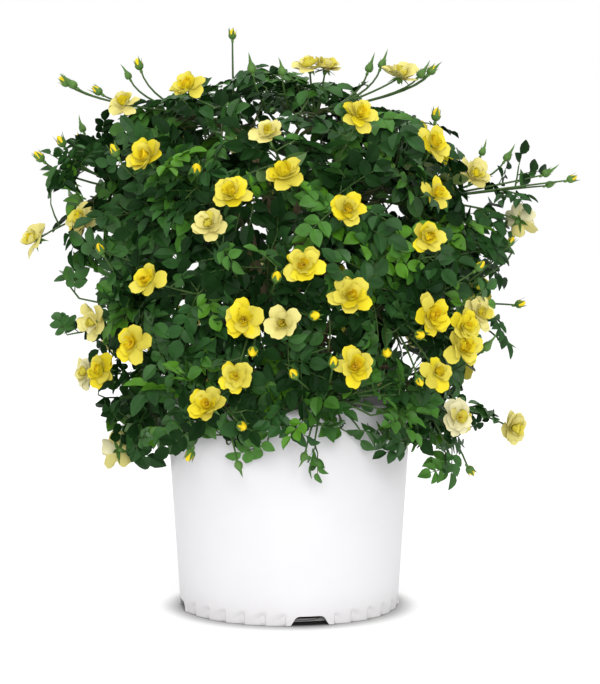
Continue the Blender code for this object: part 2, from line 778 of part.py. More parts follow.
def make_mass(mass, pieces, material):
    name = "foliage_" + mass["name"]
    base, *others = [make_object(name + "_piece", piece_shape(piece), material) for piece in pieces]
    base.data = joined(base, others, "EXACT")
    keep_main_shell(base.data)
    base.name = name
    return base


# ---------------------------------------------------------------- whole plant


def main():
    clear_scene()
    plastic = make_material("white_plastic", (0.86, 0.85, 0.86), 0.42)
    soil = make_material("potting_mix", (0.035, 0.022, 0.014), 0.95)
    bark = make_material("bark", (0.10, 0.085, 0.045), 0.75)
    foliage = make_material("foliage", (0.035, 0.10, 0.018), 0.5)
    make_material("guide", (1, 0.2, 0.2), 1)

    make_pot(plastic)
    make_root_ball(soil)
    make_object("main_stem", stem_shape(), bark, smooth=True)
    clearing = make_cutter("stem_clearing", stem_shape(CLEARANCE))
    masses = plan_masses()
    segments = cane_segments(masses)
    rooms = [room_of(mass, masses) for mass in masses]
    shoots = plan_shoots()
    spots = [np.array(crown_point(*shoot[:3])) for shoot in shoots]
    owners = [
        int(np.argmin([(Vector(spot) - mass["centre"]).length for mass in masses])) for spot in spots
    ]
    for index, mass in enumerate(masses):
        make_cane(mass, clearing, bark)
        own = [shoot for shoot, owner in zip(shoots, owners) if owner == index]
        make_mass(mass, grow_mass(mass, index, own, rooms[index], segments), foliage)


main()
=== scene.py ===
"""Looks of a potted rose bush: white pot, potting mix, canes, leaves, blossoms and buds.

Metres, +Z up. The origin is the middle of the pot's flat underside, and the front of the bush is -Y.
A bearing is in degrees from the front, growing towards +X, and an "out" is how far a thing stands
beyond the bulk of the foliage.
"""

import math
import random
from collections import defaultdict

import bmesh
import bpy
import numpy as np
from mathutils import Matrix, Vector, noise


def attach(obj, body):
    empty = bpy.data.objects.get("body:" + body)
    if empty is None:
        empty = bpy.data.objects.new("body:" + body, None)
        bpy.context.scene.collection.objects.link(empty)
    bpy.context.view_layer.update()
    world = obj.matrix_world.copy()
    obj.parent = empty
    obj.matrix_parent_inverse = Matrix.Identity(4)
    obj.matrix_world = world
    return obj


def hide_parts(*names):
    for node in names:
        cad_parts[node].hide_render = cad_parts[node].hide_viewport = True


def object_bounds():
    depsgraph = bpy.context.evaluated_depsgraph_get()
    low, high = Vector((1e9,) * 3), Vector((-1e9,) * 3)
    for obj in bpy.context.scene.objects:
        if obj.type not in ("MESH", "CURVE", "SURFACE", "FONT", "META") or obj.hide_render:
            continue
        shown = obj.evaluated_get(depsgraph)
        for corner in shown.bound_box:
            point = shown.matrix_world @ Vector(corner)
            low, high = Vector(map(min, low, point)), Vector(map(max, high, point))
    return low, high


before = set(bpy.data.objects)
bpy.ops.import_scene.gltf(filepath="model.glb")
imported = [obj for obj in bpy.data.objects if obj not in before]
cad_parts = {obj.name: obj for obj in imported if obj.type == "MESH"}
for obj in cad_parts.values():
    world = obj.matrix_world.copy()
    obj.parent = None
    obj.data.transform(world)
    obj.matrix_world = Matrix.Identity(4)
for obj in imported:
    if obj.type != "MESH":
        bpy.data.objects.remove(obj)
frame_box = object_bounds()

MM = 0.001
UP = Vector((0, 0, 1))
GOLDEN_ANGLE = 180 * (3 - math.sqrt(5))


def in_mm(rows):
    """Rows of millimetres as metres."""
    return [tuple(value * MM for value in row) for row in rows]


# Pot: a moulded tub with a fluted foot and four drainage recesses.
POT_HEIGHT = 240 * MM
POT_FOOT_RADIUS = 124 * MM
POT_TOP_RADIUS = 139.5 * MM
POT_WALL = 2 * MM
POT_FLOOR = 2.5 * MM
LIP_HEIGHT = 9 * MM
LIP_PROUD = 2.5 * MM
FLUTES = 32
FLUTE_HEIGHT = 17 * MM
FLUTE_DEPTH = 3.2 * MM
FLUTE_CREST = 0.12
# Steps of each flute, and rows of corners between two heights in mm.
FLUTE_STEPS = 10
FLUTE_ROWS = 22
FLUTE_SPAN = (0.8, 21)
FLUTE_ROUNDING = 6 * MM
FLUTE_FREE_ANGLE = 13
RECESS_BEARINGS = (11, 101, 191, 281)
RECESS_FOOT_WIDTH = 50 * MM
RECESS_TOP_WIDTH = 30 * MM
RECESS_HEIGHT = 11 * MM
RECESS_DEPTH = 26 * MM
RECESS_WALL = 2 * MM
RECESS_ROUNDING = 3.5 * MM
DRAIN_WIDTH, DRAIN_HEIGHT = 36 * MM, 10 * MM
# Painted shadow on the floor: radii between which the floor's glow rises from none to full.
PAINTED_FLOOR_SHADOW = (122 * MM, 152 * MM)
# Painted shade under the pot: radii inside which the floor's colour goes dark.
PAINTED_SHADE_UNDER_POT = (116 * MM, 125 * MM)

# Root ball and main stem.
SOIL_HEIGHT = 218 * MM
SOIL_FALL = 3 * MM
SOIL_BUMP = 2.2 * MM
SOIL_SEGMENTS = 96
SOIL_ROWS = 26
SOIL_CLEARANCE = 0.5 * MM
SOIL_SEED = 17
# What lies on the soil: how many, and the smallest and largest length, width and height in mm.
SOIL_BITS = {
    "bark_chips": (420, ((3, 7), (1.6, 3.4), (0.8, 1.6))),
    "perlite": (160, ((1, 1.9), (0.9, 1.7), (0.8, 1.4))),
}
STEM_HEIGHT = 82 * MM
STEM_SUNK = 6 * MM
STEM_FLARE_RADIUS = 19 * MM
STEM_NECK_RADIUS = 14 * MM
STEM_TIP_RADIUS = 10 * MM
STEM_LEAN = -0.05
STEM_ROWS = 40

# Bulk of the foliage: (height, radius) in mm from the hem that hangs over the pot to the top.
CROWN_PROFILE = in_mm([
    (150, 165), (185, 195), (230, 210), (285, 221), (340, 232), (400, 233), (457, 224), (514, 208),
    (560, 188), (590, 150), (608, 80), (615, 0),
])
LEAN_START, LEAN_END = 440 * MM, 560 * MM
LEAN_LOW, LEAN_HIGH = 4 * MM, -24 * MM

# Outline that the bulk's leaves keep within: (height, radius) in mm about an axis that leans near the top.
LEAF_REACH = in_mm([
    (150, 186), (190, 204), (212, 214), (258, 218), (290, 222), (322, 220), (350, 232), (371, 250),
    (394, 258), (440, 255), (475, 232), (507, 232), (530, 221), (553, 198), (576, 148), (596, 92),
    (610, 48), (619, 0),
])
REACH_LEAN_START, REACH_LEAN_END = 430 * MM, 560 * MM
REACH_LEAN = -25 * MM
REACH_WAVE = 13 * MM
REACH_SPREAD = (-20 * MM, 16 * MM)
REACH_BEYOND = 0.85
HEM_HEIGHT = 198 * MM
HEM_SIDE_DROP = 34 * MM
HEM_RIGHT_RISE = 4 * MM
HEM_WAVE = 14 * MM
# Sprigs and blooms that end below this height may hang beyond the hem by so much.
LOW_END, HEM_BEYOND = 205 * MM, 48 * MM

# Openings that sky shows through from the front, as (across, height, radius) in mm where they cross the axis,
# for an eye in front at this distance and height.
OPENINGS = [
    (-35, 460, 14), (-44, 437, 11), (-24, 426, 13), (94, 469, 13), (115, 458, 10), (130, 446, 9),
    (64, 387, 12), (-103, 386, 12), (12, 354, 10), (138, 303, 13), (146, 282, 12), (139, 251, 13),
    (75, 212, 7), (24, 552, 6), (49, 550, 6), (-144, 558, 11), (-74, 546, 6), (-45, 547, 6),
    (-184, 497, 12), (203, 361, 13), (213, 460, 13), (171, 499, 14), (-160, 300, 12), (-90, 262, 11),
]
EYE_DISTANCE, EYE_HEIGHT = 2.5, 512 * MM
OPENINGS_KEPT = 0.25
TRIM_SEED = 91

# Tiers of masses, each with one cane: how many, the first one's bearing, then (radius, height) in mm of a
# mass's centre and of its cane's root, bend and tip.
TIERS = {
    "skirt": (7, 12, (165, 225), (0, 228), (62, 270), (122, 268)),
    "waist": (7, 37.7, (150, 345), (0, 238), (42, 292), (76, 328)),
    "shoulder": (6, 10, (135, 465), (0, 250), (38, 335), (60, 432)),
    "top": (4, 40, (85, 565), (6.5, 288), (14, 410), (34, 522)),
}
STAGGER = 14 * MM
CANE_RADIUS = 3.4 * MM
CANE_TIP_RADIUS = 2.7 * MM
CANE_RINGS = 26
PRICKLES_PER_CANE = 9
PRICKLE_LENGTH = 5 * MM
PRICKLE_SEED = 23

# A mass's stem runs on from its cane, and twigs leave it at these shares of its length.
STEM_REACH, STEM_OVERLAP = 0.62, 2 * MM
STEM_SPOTS = (0.25, 0.45, 0.65, 0.82, 0.96)
MASS_SEED = 700

# Each shoot is a twig that ends in leaves or a bloom: the shares of the twig at which its side sprays stand,
# and how large their leaves are.
SHOOT_KINDS = {
    "leafy": ((0.97, 0.82, 0.62), 1.0),
    "sprig": ((0.96, 0.7), 0.8),
    "blossom": ((0.78, 0.5), 0.95),
    "bud": ((0.6,), 0.78),
}
LEAFY_SHOOTS = 128
SHOOT_SPREAD = 7
SHOOT_OUT = (-70 * MM, -34 * MM)
TOP_LIFT = 0.45
SHOOT_SEED = 41
SHOOT_ARCH = 0.04
SHOOT_BEND, SHOOT_RISE = 0.62, 0.35
BUD_BEND, BUD_RISE, BUD_DROP = 0.86, 0.3, 45 * MM
TWIG_RINGS = 8
TWIG_RADIUS, TWIG_TIP_RADIUS = 1.6 * MM, 1.0 * MM
SPRAY_LENGTH = 72 * MM
SPRAY_UPTURN = (0.3, 1.3)
SPRAY_TURN = 25
SPRAY_RISE = 0.22
SPRAY_SINK = 0.35
SPRAY_SCATTER = 0.65
SPRIG_AHEAD = 0.9
# Heights over which the crown levels out at its top, and over which its sprays turn to hang down.
LEVEL_START, LEVEL_END, LEVEL_UPTURN = 500 * MM, 590 * MM, 3.0
HANG_START, HANG_END = 270 * MM, 200 * MM
SIDE_TURN_REACH, SIDE_BLUR = 220 * MM, 40 * MM
LEAF_SIDE_TURN, BLOOM_SIDE_TURN = 1.1, 0.9
SPRAY_LIFT = (4, 44)
SPRAY_GROWTH = (0.84, 1.08)

# A spray is a side twig with whole leaves. A whole leaf is a stalk with pairs of leaflets and one at its end.
SPRAY_TWIG_SHARE = 0.42
SPRAY_LEAVES = (3, 4, 4, 5)
OWN_TONE_SHARE = 0.75
LEAF_FAN, END_LEAF_FAN = (38, 78), (-14, 14)
LEAF_PITCH = (-26, 24)
LEAF_ROLL = 30
LEAF_PAIRS = (1, 2, 2, 2, 2, 3)
LEAF_KEPT_SHARE = 0.6
LEAF_CLEARANCE = 2 * MM
LEAF_SIZES = (0.82, 1.12)
STALK_FOOT = 9 * MM
PAIR_STEP = 12 * MM
STALK_DROOP = 0.08
LEAFLET_LENGTH = 22.5 * MM
LEAFLET_THICKNESS = 0.45 * MM
LEAFLET_SPREAD = (48, 72)
LEAFLET_PITCH = (-8, 14)
LEAFLET_TILT = 22
LEAFLET_SIZES = (0.9, 1.08)
PAIR_SIZES = (0.78, 0.93, 1.0)
END_LEAFLET_SIZE = 1.12
STALK_RADII = (0.7 * MM, 0.6 * MM, 0.4 * MM)
SPRAY_RADII = (1.1 * MM, 1.0 * MM, 0.8 * MM)
# A leaflet's rows along its length and half its width there, each as a share of the whole, and the leaflet
# forms: width for a length of 1, fold, bend and the phase of the edge's wave.
LEAFLET_STATIONS = (0, 0.14, 0.38, 0.64, 0.87, 1)
LEAFLET_HALVES = (0, 0.68, 1.0, 0.90, 0.42, 0)
LEAFLET_FORMS = {
    "leaflet_broad": (0.72, 0.36, 0.12, 0),
    "leaflet_oval": (0.64, 0.46, 0.08, 2),
    "leaflet_bent": (0.68, 0.40, 0.28, 4),
    "leaflet_folded": (0.62, 0.62, 0.16, 1),
}

# How many parts in a hundred of the sprays take each tone, inside the bush, on sprigs and at the surface.
# Inside, most sprays take the darkest tones: partly the leaves' own colour, partly painted shade of the
# bush's inside.
TONES_INSIDE = {"deep": 64, "dark": 26, "mid": 7, "olive": 3}
TONES_SPRIG = {"dark": 34, "mid": 42, "fresh": 19, "young": 5}
TONES_OUTSIDE = {"deep": 16, "dark": 29, "mid": 30, "fresh": 16, "young": 7, "pale": 2}
LEAF_TONES = {
    "deep": (0.008, 0.032, 0.006),
    "dark": (0.022, 0.080, 0.016),
    "mid": (0.036, 0.120, 0.021),
    "fresh": (0.056, 0.180, 0.020),
    "young": (0.080, 0.240, 0.012),
    # Pale leaves: partly young leaves and undersides, partly a painted sheen.
    "pale": (0.115, 0.225, 0.060),
    "olive": (0.055, 0.085, 0.012),
}
LEAF_GLOSS = {"deep": 0.06, "dark": 0.16, "pale": 0.34}
OTHER_LEAF_GLOSS, GROWTH_GLOSS = 0.24, 0.22

# Reliefs: the grain's scale, strength, depth in metres and stretch along Z.
SOIL_RELIEF = (700, 0.9, 0.002, 1)
LEAF_RELIEF = (900, 0.25, 0.0006, 1)
PETAL_RELIEF = (260, 0.15, 0.0006, 1)
# Plain surfaces: colour, patch colour, the patches' scale, roughness, gloss and relief.
SURFACES = {
    "white_plastic": (
        (0.640, 0.632, 0.652), (0.655, 0.647, 0.665), 14, 0.42, 0.45, (500, 0.06, 0.0005, 1),
    ),
    "potting_mix": ((0.030, 0.019, 0.012), (0.075, 0.048, 0.030), 160, 0.95, 0.15, SOIL_RELIEF),
    "bark_chips": ((0.085, 0.045, 0.024), (0.16, 0.10, 0.06), 160, 0.95, 0.15, SOIL_RELIEF),
    "perlite": ((0.62, 0.60, 0.56), (0.78, 0.77, 0.74), 160, 0.95, 0.15, SOIL_RELIEF),
    "cane_bark": ((0.085, 0.105, 0.032), (0.15, 0.10, 0.055), 70, 0.7, 0.3, (420, 0.5, 0.001, 0.12)),
}
# Small growths: colour, how dark its patches are next to it, the patches' scale and roughness.
GROWTHS = {
    "twig_bark": ((0.075, 0.095, 0.028), 0.55, 60, 0.6),
    "green_stalks": ((0.050, 0.105, 0.022), 0.7, 60, 0.5),
    "sepals": ((0.085, 0.19, 0.035), 0.7, 120, 0.5),
    "stamens": ((0.66, 0.44, 0.03), 0.7, 300, 0.6),
    "withered_petals": ((0.28, 0.13, 0.05), 0.6, 120, 0.7),
}
# Noise values between which patches and streaks rise from none to full.
PATCH_EDGE, GRAIN_EDGE = (0.34, 0.66), (0.42, 0.62)
# The pot's foot is darker towards the ground: how far up that reaches, its patches' scale and its colour.
FOOT_DARK_REACH, FOOT_DARK_SCALE = 35 * MM, 70
FOOT_DARK_COLOUR = (0.58, 0.565, 0.55)
STREAK_COLOUR, STREAK_STRENGTH = (0.24, 0.19, 0.12), 0.45

# Rings of a blossom's petals from the outside in: how many, length, width, rise in degrees, how far the foot
# stands from the middle, the petal's form and which of the blossom's tones it takes.
BLOSSOM_RINGS = [
    (5, 22.5, 19, 2, 2.0, "spoon", "rim"),
    (4, 19.5, 17, 17, 1.6, "spoon", "rim"),
    (4, 15.5, 15.5, 27, 1.2, "cupped", "middle"),
    (4, 10.5, 10.5, 38, 0.8, "curled", "heart"),
]
RING_STEP = 0.8 * MM
PETAL_SPIN, PETAL_RISE_SPREAD, PETAL_ROLL = 10, 15, 18
PETAL_LENGTHS, PETAL_WIDTHS = (0.86, 1.08), (0.86, 1.12)
PETAL_NOTCH = 0.07
LOOSE_SHARE = 0.35
BLOSSOM_SIZES, BUD_SIZES = (0.82, 1.02), (0.85, 1.1)
BUD_LENGTH, SLIM_BUD_LENGTH = 14 * MM, 23 * MM
BLOOM_SEED = 5
BLOSSOM_RADIUS, BUD_RADIUS = 22 * MM, 9 * MM
CLEARING_STEPS, CLEARING_SIZE = (0.4, 1.4, 2.4), 0.92
BLOOM_UPTURN, BUD_UPTURN, BLOOM_SCATTER = 0.45, 0.3, 0.25
# Colours of each ring by the blossom's kind. The middle and heart take more saturated yellows: partly the
# petals' own deeper colour towards the centre, partly painted glow of light through the petals where the
# heart lies in shade.
BLOSSOM_TONES = {
    "golden": dict(
        rim=("yellow", "yellow", "bright"), middle=("bright", "yellow"), heart=("bright", "golden")
    ),
    "pale": dict(rim=("pale",), middle=("yellow", "pale"), heart=("bright", "yellow")),
    "spent": dict(rim=("cream", "pale"), middle=("pale", "cream"), heart=("yellow",)),
}
BLOSSOM_CUPS = {"golden": (-4, 12), "pale": (-2, 16), "spent": (-12, 14)}
# The golden and bright colours are kept light so that the shaded heart glows: partly painted light.
PETAL_COLOURS = {
    "golden": (0.76, 0.56, 0.010),
    "bright": (0.70, 0.59, 0.018),
    "yellow": (0.64, 0.565, 0.070),
    "pale": (0.67, 0.610, 0.210),
    "cream": (0.71, 0.670, 0.400),
}
STAMENS = 7
STAMEN_FOOT, STAMEN_LENGTH, STAMEN_TIP = 2 * MM, 5 * MM, 0.8 * MM
STAMEN_RADII = (0.35 * MM, 0.45 * MM, 0.9 * MM)

# Round parts of a bloom: their sides, then (radius, height) from the foot to the tip. A bud's petals wind to
# its tip, a slim bud is shut in its sepals up to a thin tip, a cup hugs a bud's lower part, on the bud's
# scale, and a hip is the swelling under a bloom.
ROUND_FORMS = {
    "bud": (10, [
        (0, 0), (0.2, 0.03), (0.31, 0.2), (0.34, 0.42), (0.29, 0.64), (0.18, 0.83), (0.08, 0.95), (0, 1),
    ]),
    "slim_bud": (8, [
        (0, 0), (0.13, 0.02), (0.2, 0.12), (0.2, 0.25), (0.14, 0.38), (0.07, 0.5), (0.04, 0.75), (0, 1),
    ]),
    "cup": (10, [(0, -0.03), (0.15, -0.02), (0.30, 0.1), (0.375, 0.28), (0.39, 0.42), (0.3, 0.4), (0, 0.3)]),
    "hip": (8, [(0, 0), (0.16, 0.02), (0.34, 0.3), (0.4, 0.6), (0.3, 0.88), (0.26, 1), (0, 1)]),
}
SEPAL_HALVES = (0.10, 0.17, 0.14, 0.08, 0.035, 0)
SEPAL_SPREAD, SEPAL_LENGTHS = 8, (0.75, 1.1)

# Blooms of the front half: (bearing, height in mm, out in mm).
BLOSSOMS = {
    "golden": [
        (-31, 583, 0), (31, 553, 0), (-40, 509, 0), (57, 522, 0), (1, 490, 0), (-15, 472, 0),
        (45, 470, 0), (15, 455, 0), (38, 425, 0), (3, 399, 0), (-40, 380, 0), (15, 366, 0),
        (39, 344, 0), (-12, 343, 0), (53, 329, 0), (52, 307, 5), (-48, 312, 0), (17, 293, 0),
        (-15, 282, 0), (44, 280, 0), (-73, 274, 0), (-24, 251, 0),
    ],
    "pale": [
        (34, 607, 0), (47, 606, 0), (67, 597, 36), (-58, 566, 0), (0, 533, 0), (77, 490, 0),
        (-84, 438, 9), (-22, 439, 0), (-88, 417, 58), (60, 341, 0), (-2, 339, 0), (85, 206, 45),
    ],
    "spent": [(59, 228, 0), (-85, 180, 7), (85, 439, 28), (-69, 330, 0), (-85, 268, 14)],
}
YELLOW_BUDS = [
    (-85, 590, 72), (-70, 606, 60), (-50, 640, 50), (-80, 580, 24), (-85, 522, 30), (-86, 506, 53),
    (-54, 511, 0), (-24, 494, 0), (-62, 406, 0), (-4, 384, 0), (74, 550, 0), (86, 484, 100),
    (58, 389, 0), (80, 346, 20), (85, 411, 11), (5, 347, 0), (26, 309, 0), (11, 294, 0),
    (35, 325, 0), (37, 279, 0), (80, 163, 24), (-15, 231, 0), (-32, 200, 0), (-10, 313, 0),
    (1, 283, 0), (80, 602, 78),
]
GREEN_BUDS = [
    (-82, 587, 60), (-75, 596, 30), (75, 604, 20), (75, 608, 50), (80, 602, 80), (78, 598, 52),
    (85, 512, 21), (85, 506, 44), (86, 490, 76), (87, 478, 73), (84, 305, 10), (66, 300, 5),
    (-7, 600, 5), (8, 597, 3), (-17, 190, 0), (4, 201, 0),
]
# Leafy ends that stand out of the bulk.
SPRIGS = [
    (-86, 508, 34), (-86, 440, 28), (-87, 358, 38), (-84, 300, 42), (-82, 240, 18), (-80, 200, 44),
    (88, 417, 40), (86, 362, 22), (80, 176, 34), (-19, 186, 0), (6, 180, 0), (80, 592, 44), (37, 196, 0),
    (16, 226, -14), (24, 212, -12), (31, 224, -14), (27, 240, -16), (36, 232, -12), (12, 240, -16),
    (20, 250, -18), (22, 262, -20), (29, 266, -22), (35, 258, -18), (67, 178, 0), (75, 174, 10),
    (-63, 184, -2), (-74, 180, 4), (-6, 238, -14), (-10, 226, -12), (1, 228, -14), (-15, 214, -8),
    (-84, 198, 28), (-86, 541, 44), (170, 300, 30), (150, 430, 40), (205, 400, 45), (190, 520, 40),
    (185, 190, 30), (130, 205, 34), (235, 180, 36), (-52, 604, 6), (-20, 612, 40), (15, 610, 30),
    (42, 606, 10), (62, 596, 24), (-68, 590, 30), (120, 600, 10), (200, 606, 10), (165, 590, 10),
]
# Blooms of the back half follow a rule. Those that stand far out are buds in pairs.
BACK_BLOOMS = 52
BACK_START = 110
BACK_SWEEP = 142
BACK_LOWEST, BACK_HIGHEST = 205 * MM, 540 * MM
BACK_OUTS = (0, 4, 28, 0, 10, 45, 2)
BACK_BUD_OUT = 20 * MM
TWIN_TURN, TWIN_STEP = 5, 12 * MM
BACK_TONES = ("golden", "golden", "pale", "golden", "pale", "golden", "spent")


# ------------------------------------------------------------ the crown's rule


def smooth(share):
    return share * share * (3 - 2 * share)


def share_between(value, start, end):
    """How far a value is on its way from the start to the end, from 0 to 1."""
    return np.clip((value - start) / (end - start), 0, 1)


def crown_radius(height):
    return np.interp(height, *zip(*CROWN_PROFILE))


def around(bearing, radius, height):
    """A point by its bearing and radius about the crown's axis, which leans to one side."""
    lean = LEAN_LOW + (LEAN_HIGH - LEAN_LOW) * smooth(share_between(height, LEAN_START, LEAN_END))
    turn = math.radians(bearing)
    return Vector((lean + radius * math.sin(turn), -radius * math.cos(turn), height))


def crown_point(bearing, height, out):
    return around(bearing, crown_radius(height) + out, height)


def crown_normal(bearing, height):
    """The direction that the crown's surface faces."""
    step = 6 * MM
    slope = (crown_radius(height + step) - crown_radius(height - step)) / (2 * step)
    turn = math.radians(bearing)
    return Vector((math.sin(turn), -math.cos(turn), -slope)).normalized()


def sunk_point(bearing, height, out):
    """A point that stands off the bulk's surface along its own slope."""
    return crown_point(bearing, height, 0) + crown_normal(bearing, height) * out


def curve_points(start, bend, end, count):
    """Points along a quadratic curve."""
    return [
        start * (1 - t) ** 2 + bend * 2 * t * (1 - t) + end * t * t for t in np.linspace(0, 1, count)
    ]


def taper(start, end, count):
    return [start + (end - start) * share for share in np.linspace(0, 1, count)]


def along(path, share):
    """The point at a share of the way along a path of evenly spaced points."""
    place = share * (len(path) - 1)
    index = min(int(place), len(path) - 2)
    return path[index].lerp(path[index + 1], place - index)


def scattered(chance, reach):
    return Vector([chance.uniform(-reach, reach) for _ in range(3)])


def facing(direction, towards):
    """A rotation whose X is the direction and whose Z leans towards the other vector."""
    forward = direction.normalized()
    across = towards.cross(forward).normalized()
    return Matrix((forward, across, forward.cross(across))).transposed().to_4x4()


def moved(point):
    return Matrix.Translation(point)


def turned_by(z, y=0, x=0):
    """A turn about Z, then one about Y and one about X, in degrees."""
    turn = Matrix.Rotation(math.radians(z), 4, "Z")
    return turn @ Matrix.Rotation(math.radians(y), 4, "Y") @ Matrix.Rotation(math.radians(x), 4, "X")


def scaled(length, width=None, height=None):
    return Matrix.Diagonal((length, width or length, height or length, 1))


# ------------------------------------------------------------ making pieces


def finish_piece(thing, material, nodes, sharp_angle=40):
    """Shades a piece, gives it its material and ties it to the frame."""
    thing.data.materials.clear()
    thing.data.materials.append(material)
    thing.data.shade_smooth()
    thing.data.set_sharp_from_angle(angle=math.radians(sharp_angle))
    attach(thing, "root")
    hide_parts(*nodes)


def add_object(name, data):
    thing = bpy.data.objects.new(name, data)
    bpy.context.scene.collection.objects.link(thing)
    return thing


def object_from(name, shape):
    """Turns a bmesh into a named object, with its faces to the outside."""
    bmesh.ops.recalc_face_normals(shape, faces=shape.faces)
    mesh = bpy.data.meshes.new(name)
    shape.to_mesh(mesh)
    shape.free()
    return add_object(name, mesh)


def turned(profile, segments):
    """A closed solid turned about Z from (radius, height) points that start and end on the axis."""
    shape = bmesh.new()
    corners = [shape.verts.new((radius, 0, height)) for radius, height in profile]
    edges = [shape.edges.new(pair) for pair in zip(corners, corners[1:])]
    bmesh.ops.spin(
        shape, geom=corners + edges, cent=(0, 0, 0), axis=UP, angle=math.tau, steps=segments, use_merge=True
    )
    bmesh.ops.remove_doubles(shape, verts=shape.verts, dist=0.01 * MM)
    return shape


def form_arrays(shape):
    """A small bmesh as arrays: its corners, and each face's corner numbers."""
    shape.verts.index_update()
    corners = np.array([corner.co[:] for corner in shape.verts])
    faces = [[corner.index for corner in face.verts] for face in shape.faces]
    shape.free()
    return corners, faces


def sheet_form(steps, across, thickness, place):
    """A thin closed form: a sheet whose corners stand where place(share, side) says, joined to its back."""
    shape = bmesh.new()
    bmesh.ops.create_grid(shape, x_segments=steps, y_segments=across, size=0.5)
    for corner in shape.verts:
        corner.co = place(corner.co.x + 0.5, corner.co.y * 2)
    bmesh.ops.remove_doubles(shape, verts=shape.verts, dist=1e-4)
    edge = {corner for side in shape.edges if side.is_boundary for corner in side.verts}
    copy = bmesh.ops.duplicate(shape, geom=shape.verts[:] + shape.edges[:] + shape.faces[:])
    faces = [part for part in copy["geom"] if isinstance(part, bmesh.types.BMFace)]
    bmesh.ops.reverse_faces(shape, faces=faces)
    rim = {copy["vert_map"][corner] for corner in edge}
    for corner in {corner for face in faces for corner in face.verts} - rim:
        corner.co.z -= thickness
    bmesh.ops.remove_doubles(shape, verts=shape.verts, dist=1e-5)
    return form_arrays(shape)


def joined_copies(name, forms, placed):
    """One object of many copies: placed holds (form's name, matrix) for each copy."""
    corners, loops, starts = [], [], []
    corner_count = loop_count = 0
    for key, (points, faces) in forms.items():
        matrices = np.array([place for form, place in placed if form == key])
        if not len(matrices):
            continue
        copies = np.einsum("nij,kj->nki", matrices[:, :3, :3], points) + matrices[:, None, :3, 3]
        flat = np.concatenate([np.array(face) for face in faces])
        sizes = np.array([len(face) for face in faces])
        order = np.arange(len(matrices))[:, None]
        loops.append((flat[None] + order * len(points)).ravel() + corner_count)
        starts.append(((np.cumsum(sizes) - sizes)[None] + order * len(flat)).ravel() + loop_count)
        corners.append(copies.reshape(-1, 3))
        corner_count += len(matrices) * len(points)
        loop_count += len(matrices) * len(flat)
    corners, loops, starts = (np.concatenate(part) for part in (corners, loops, starts))
    mesh = bpy.data.meshes.new(name)
    mesh.vertices.add(corner_count)
    mesh.vertices.foreach_set("co", corners.ravel())
    mesh.loops.add(loop_count)
    mesh.loops.foreach_set("vertex_index", loops)
    mesh.polygons.add(len(starts))
    mesh.polygons.foreach_set("loop_start", starts)
    mesh.update(calc_edges=True)
    mesh.validate()
    return add_object(name, mesh)


def joined_tubes(name, runs, resolution=0):
    """One object of closed tubes: runs holds (points, radii) for each tube."""
    curve = bpy.data.curves.new(name, "CURVE")
    curve.dimensions = "3D"
    curve.bevel_depth = 1
    curve.bevel_resolution = resolution
    curve.use_fill_caps = True
    for points, radii in runs:
        spline = curve.splines.new("POLY")
        spline.points.add(len(points) - 1)
        spline.points.foreach_set("co", [value for point in points for value in (*point, 1)])
        spline.points.foreach_set("radius", radii)
    guide = bpy.data.objects.new(name, curve)
    mesh = bpy.data.meshes.new_from_object(guide)
    mesh.name = name
    bpy.data.objects.remove(guide)
    bpy.data.curves.remove(curve)
    shape = bmesh.new()
    shape.from_mesh(mesh)
    bmesh.ops.remove_doubles(shape, verts=shape.verts, dist=0.002 * MM)
    shape.to_mesh(mesh)
    shape.free()
    return add_object(name, mesh)


def cut_and_join(thing, helpers):
    """Joins and cuts a piece with its helper objects, and removes them."""
    for operation, helper in helpers:
        step = thing.modifiers.new(helper.name, "BOOLEAN")
        step.operation = operation
        step.solver = "EXACT"
        step.object = helper
    depsgraph = bpy.context.evaluated_depsgraph_get()
    mesh = bpy.data.meshes.new_from_object(thing.evaluated_get(depsgraph))
    thing.modifiers.clear()
    thing.data = mesh
    for _, helper in helpers:
        bpy.data.objects.remove(helper, do_unlink=True)


# ------------------------------------------------------------ node groups and materials


def add_node(tree, kind, values, **settings):
    """A shader node with its settings, and with each input in values set to a value or linked to a socket."""
    node = tree.nodes.new("ShaderNode" + kind)
    for title, value in settings.items():
        setattr(node, title, value)
    for title, value in values.items():
        if isinstance(value, bpy.types.NodeSocket):
            tree.links.new(value, node.inputs[title])
        else:
            node.inputs[title].default_value = value
    return node


def object_place(tree):
    return add_node(tree, "TexCoord", {}).outputs["Object"]


def add_noise(tree, place, scale, detail, roughness):
    values = {"Vector": place, "Scale": scale, "Detail": detail, "Roughness": roughness}
    return add_node(tree, "TexNoise", values).outputs["Fac"]


def add_range(tree, value, low, high, to_low=0, to_high=1, **settings):
    """Maps a value's range to another, held at its ends."""
    values = {"Value": value, "From Min": low, "From Max": high, "To Min": to_low, "To Max": to_high}
    return add_node(tree, "MapRange", values, **settings).outputs["Result"]


def add_mix(tree, mask, colour, other):
    values = {"Factor": mask, "A": colour, "B": other}
    return add_node(tree, "Mix", values, data_type="RGBA").outputs["Result"]


def new_group(name, inputs, outputs):
    """A shader node group: its inputs by name and value, its outputs by name and kind, and its two ends."""
    group = bpy.data.node_groups.new(name, "ShaderNodeTree")
    for title, value in inputs.items():
        kind = "NodeSocketColor" if isinstance(value, tuple) else "NodeSocketFloat"
        group.interface.new_socket(name=title, in_out="INPUT", socket_type=kind).default_value = value
    for title, kind in outputs.items():
        group.interface.new_socket(name=title, in_out="OUTPUT", socket_type="NodeSocket" + kind)
    return group, group.nodes.new("NodeGroupInput").outputs, group.nodes.new("NodeGroupOutput").inputs


def make_mottle_group():
    """Drifts from one colour to another in soft patches."""
    grey = (0.5, 0.5, 0.5, 1)
    inputs = {"Colour": grey, "Patch Colour": grey, "Patch Scale": 40}
    group, given, made = new_group("mottle", inputs, {"Colour": "Color"})
    pattern = add_noise(group, object_place(group), given["Patch Scale"], 3, 0.55)
    patches = add_range(group, pattern, *PATCH_EDGE)
    group.links.new(add_mix(group, patches, given["Colour"], given["Patch Colour"]), made["Colour"])
    return group


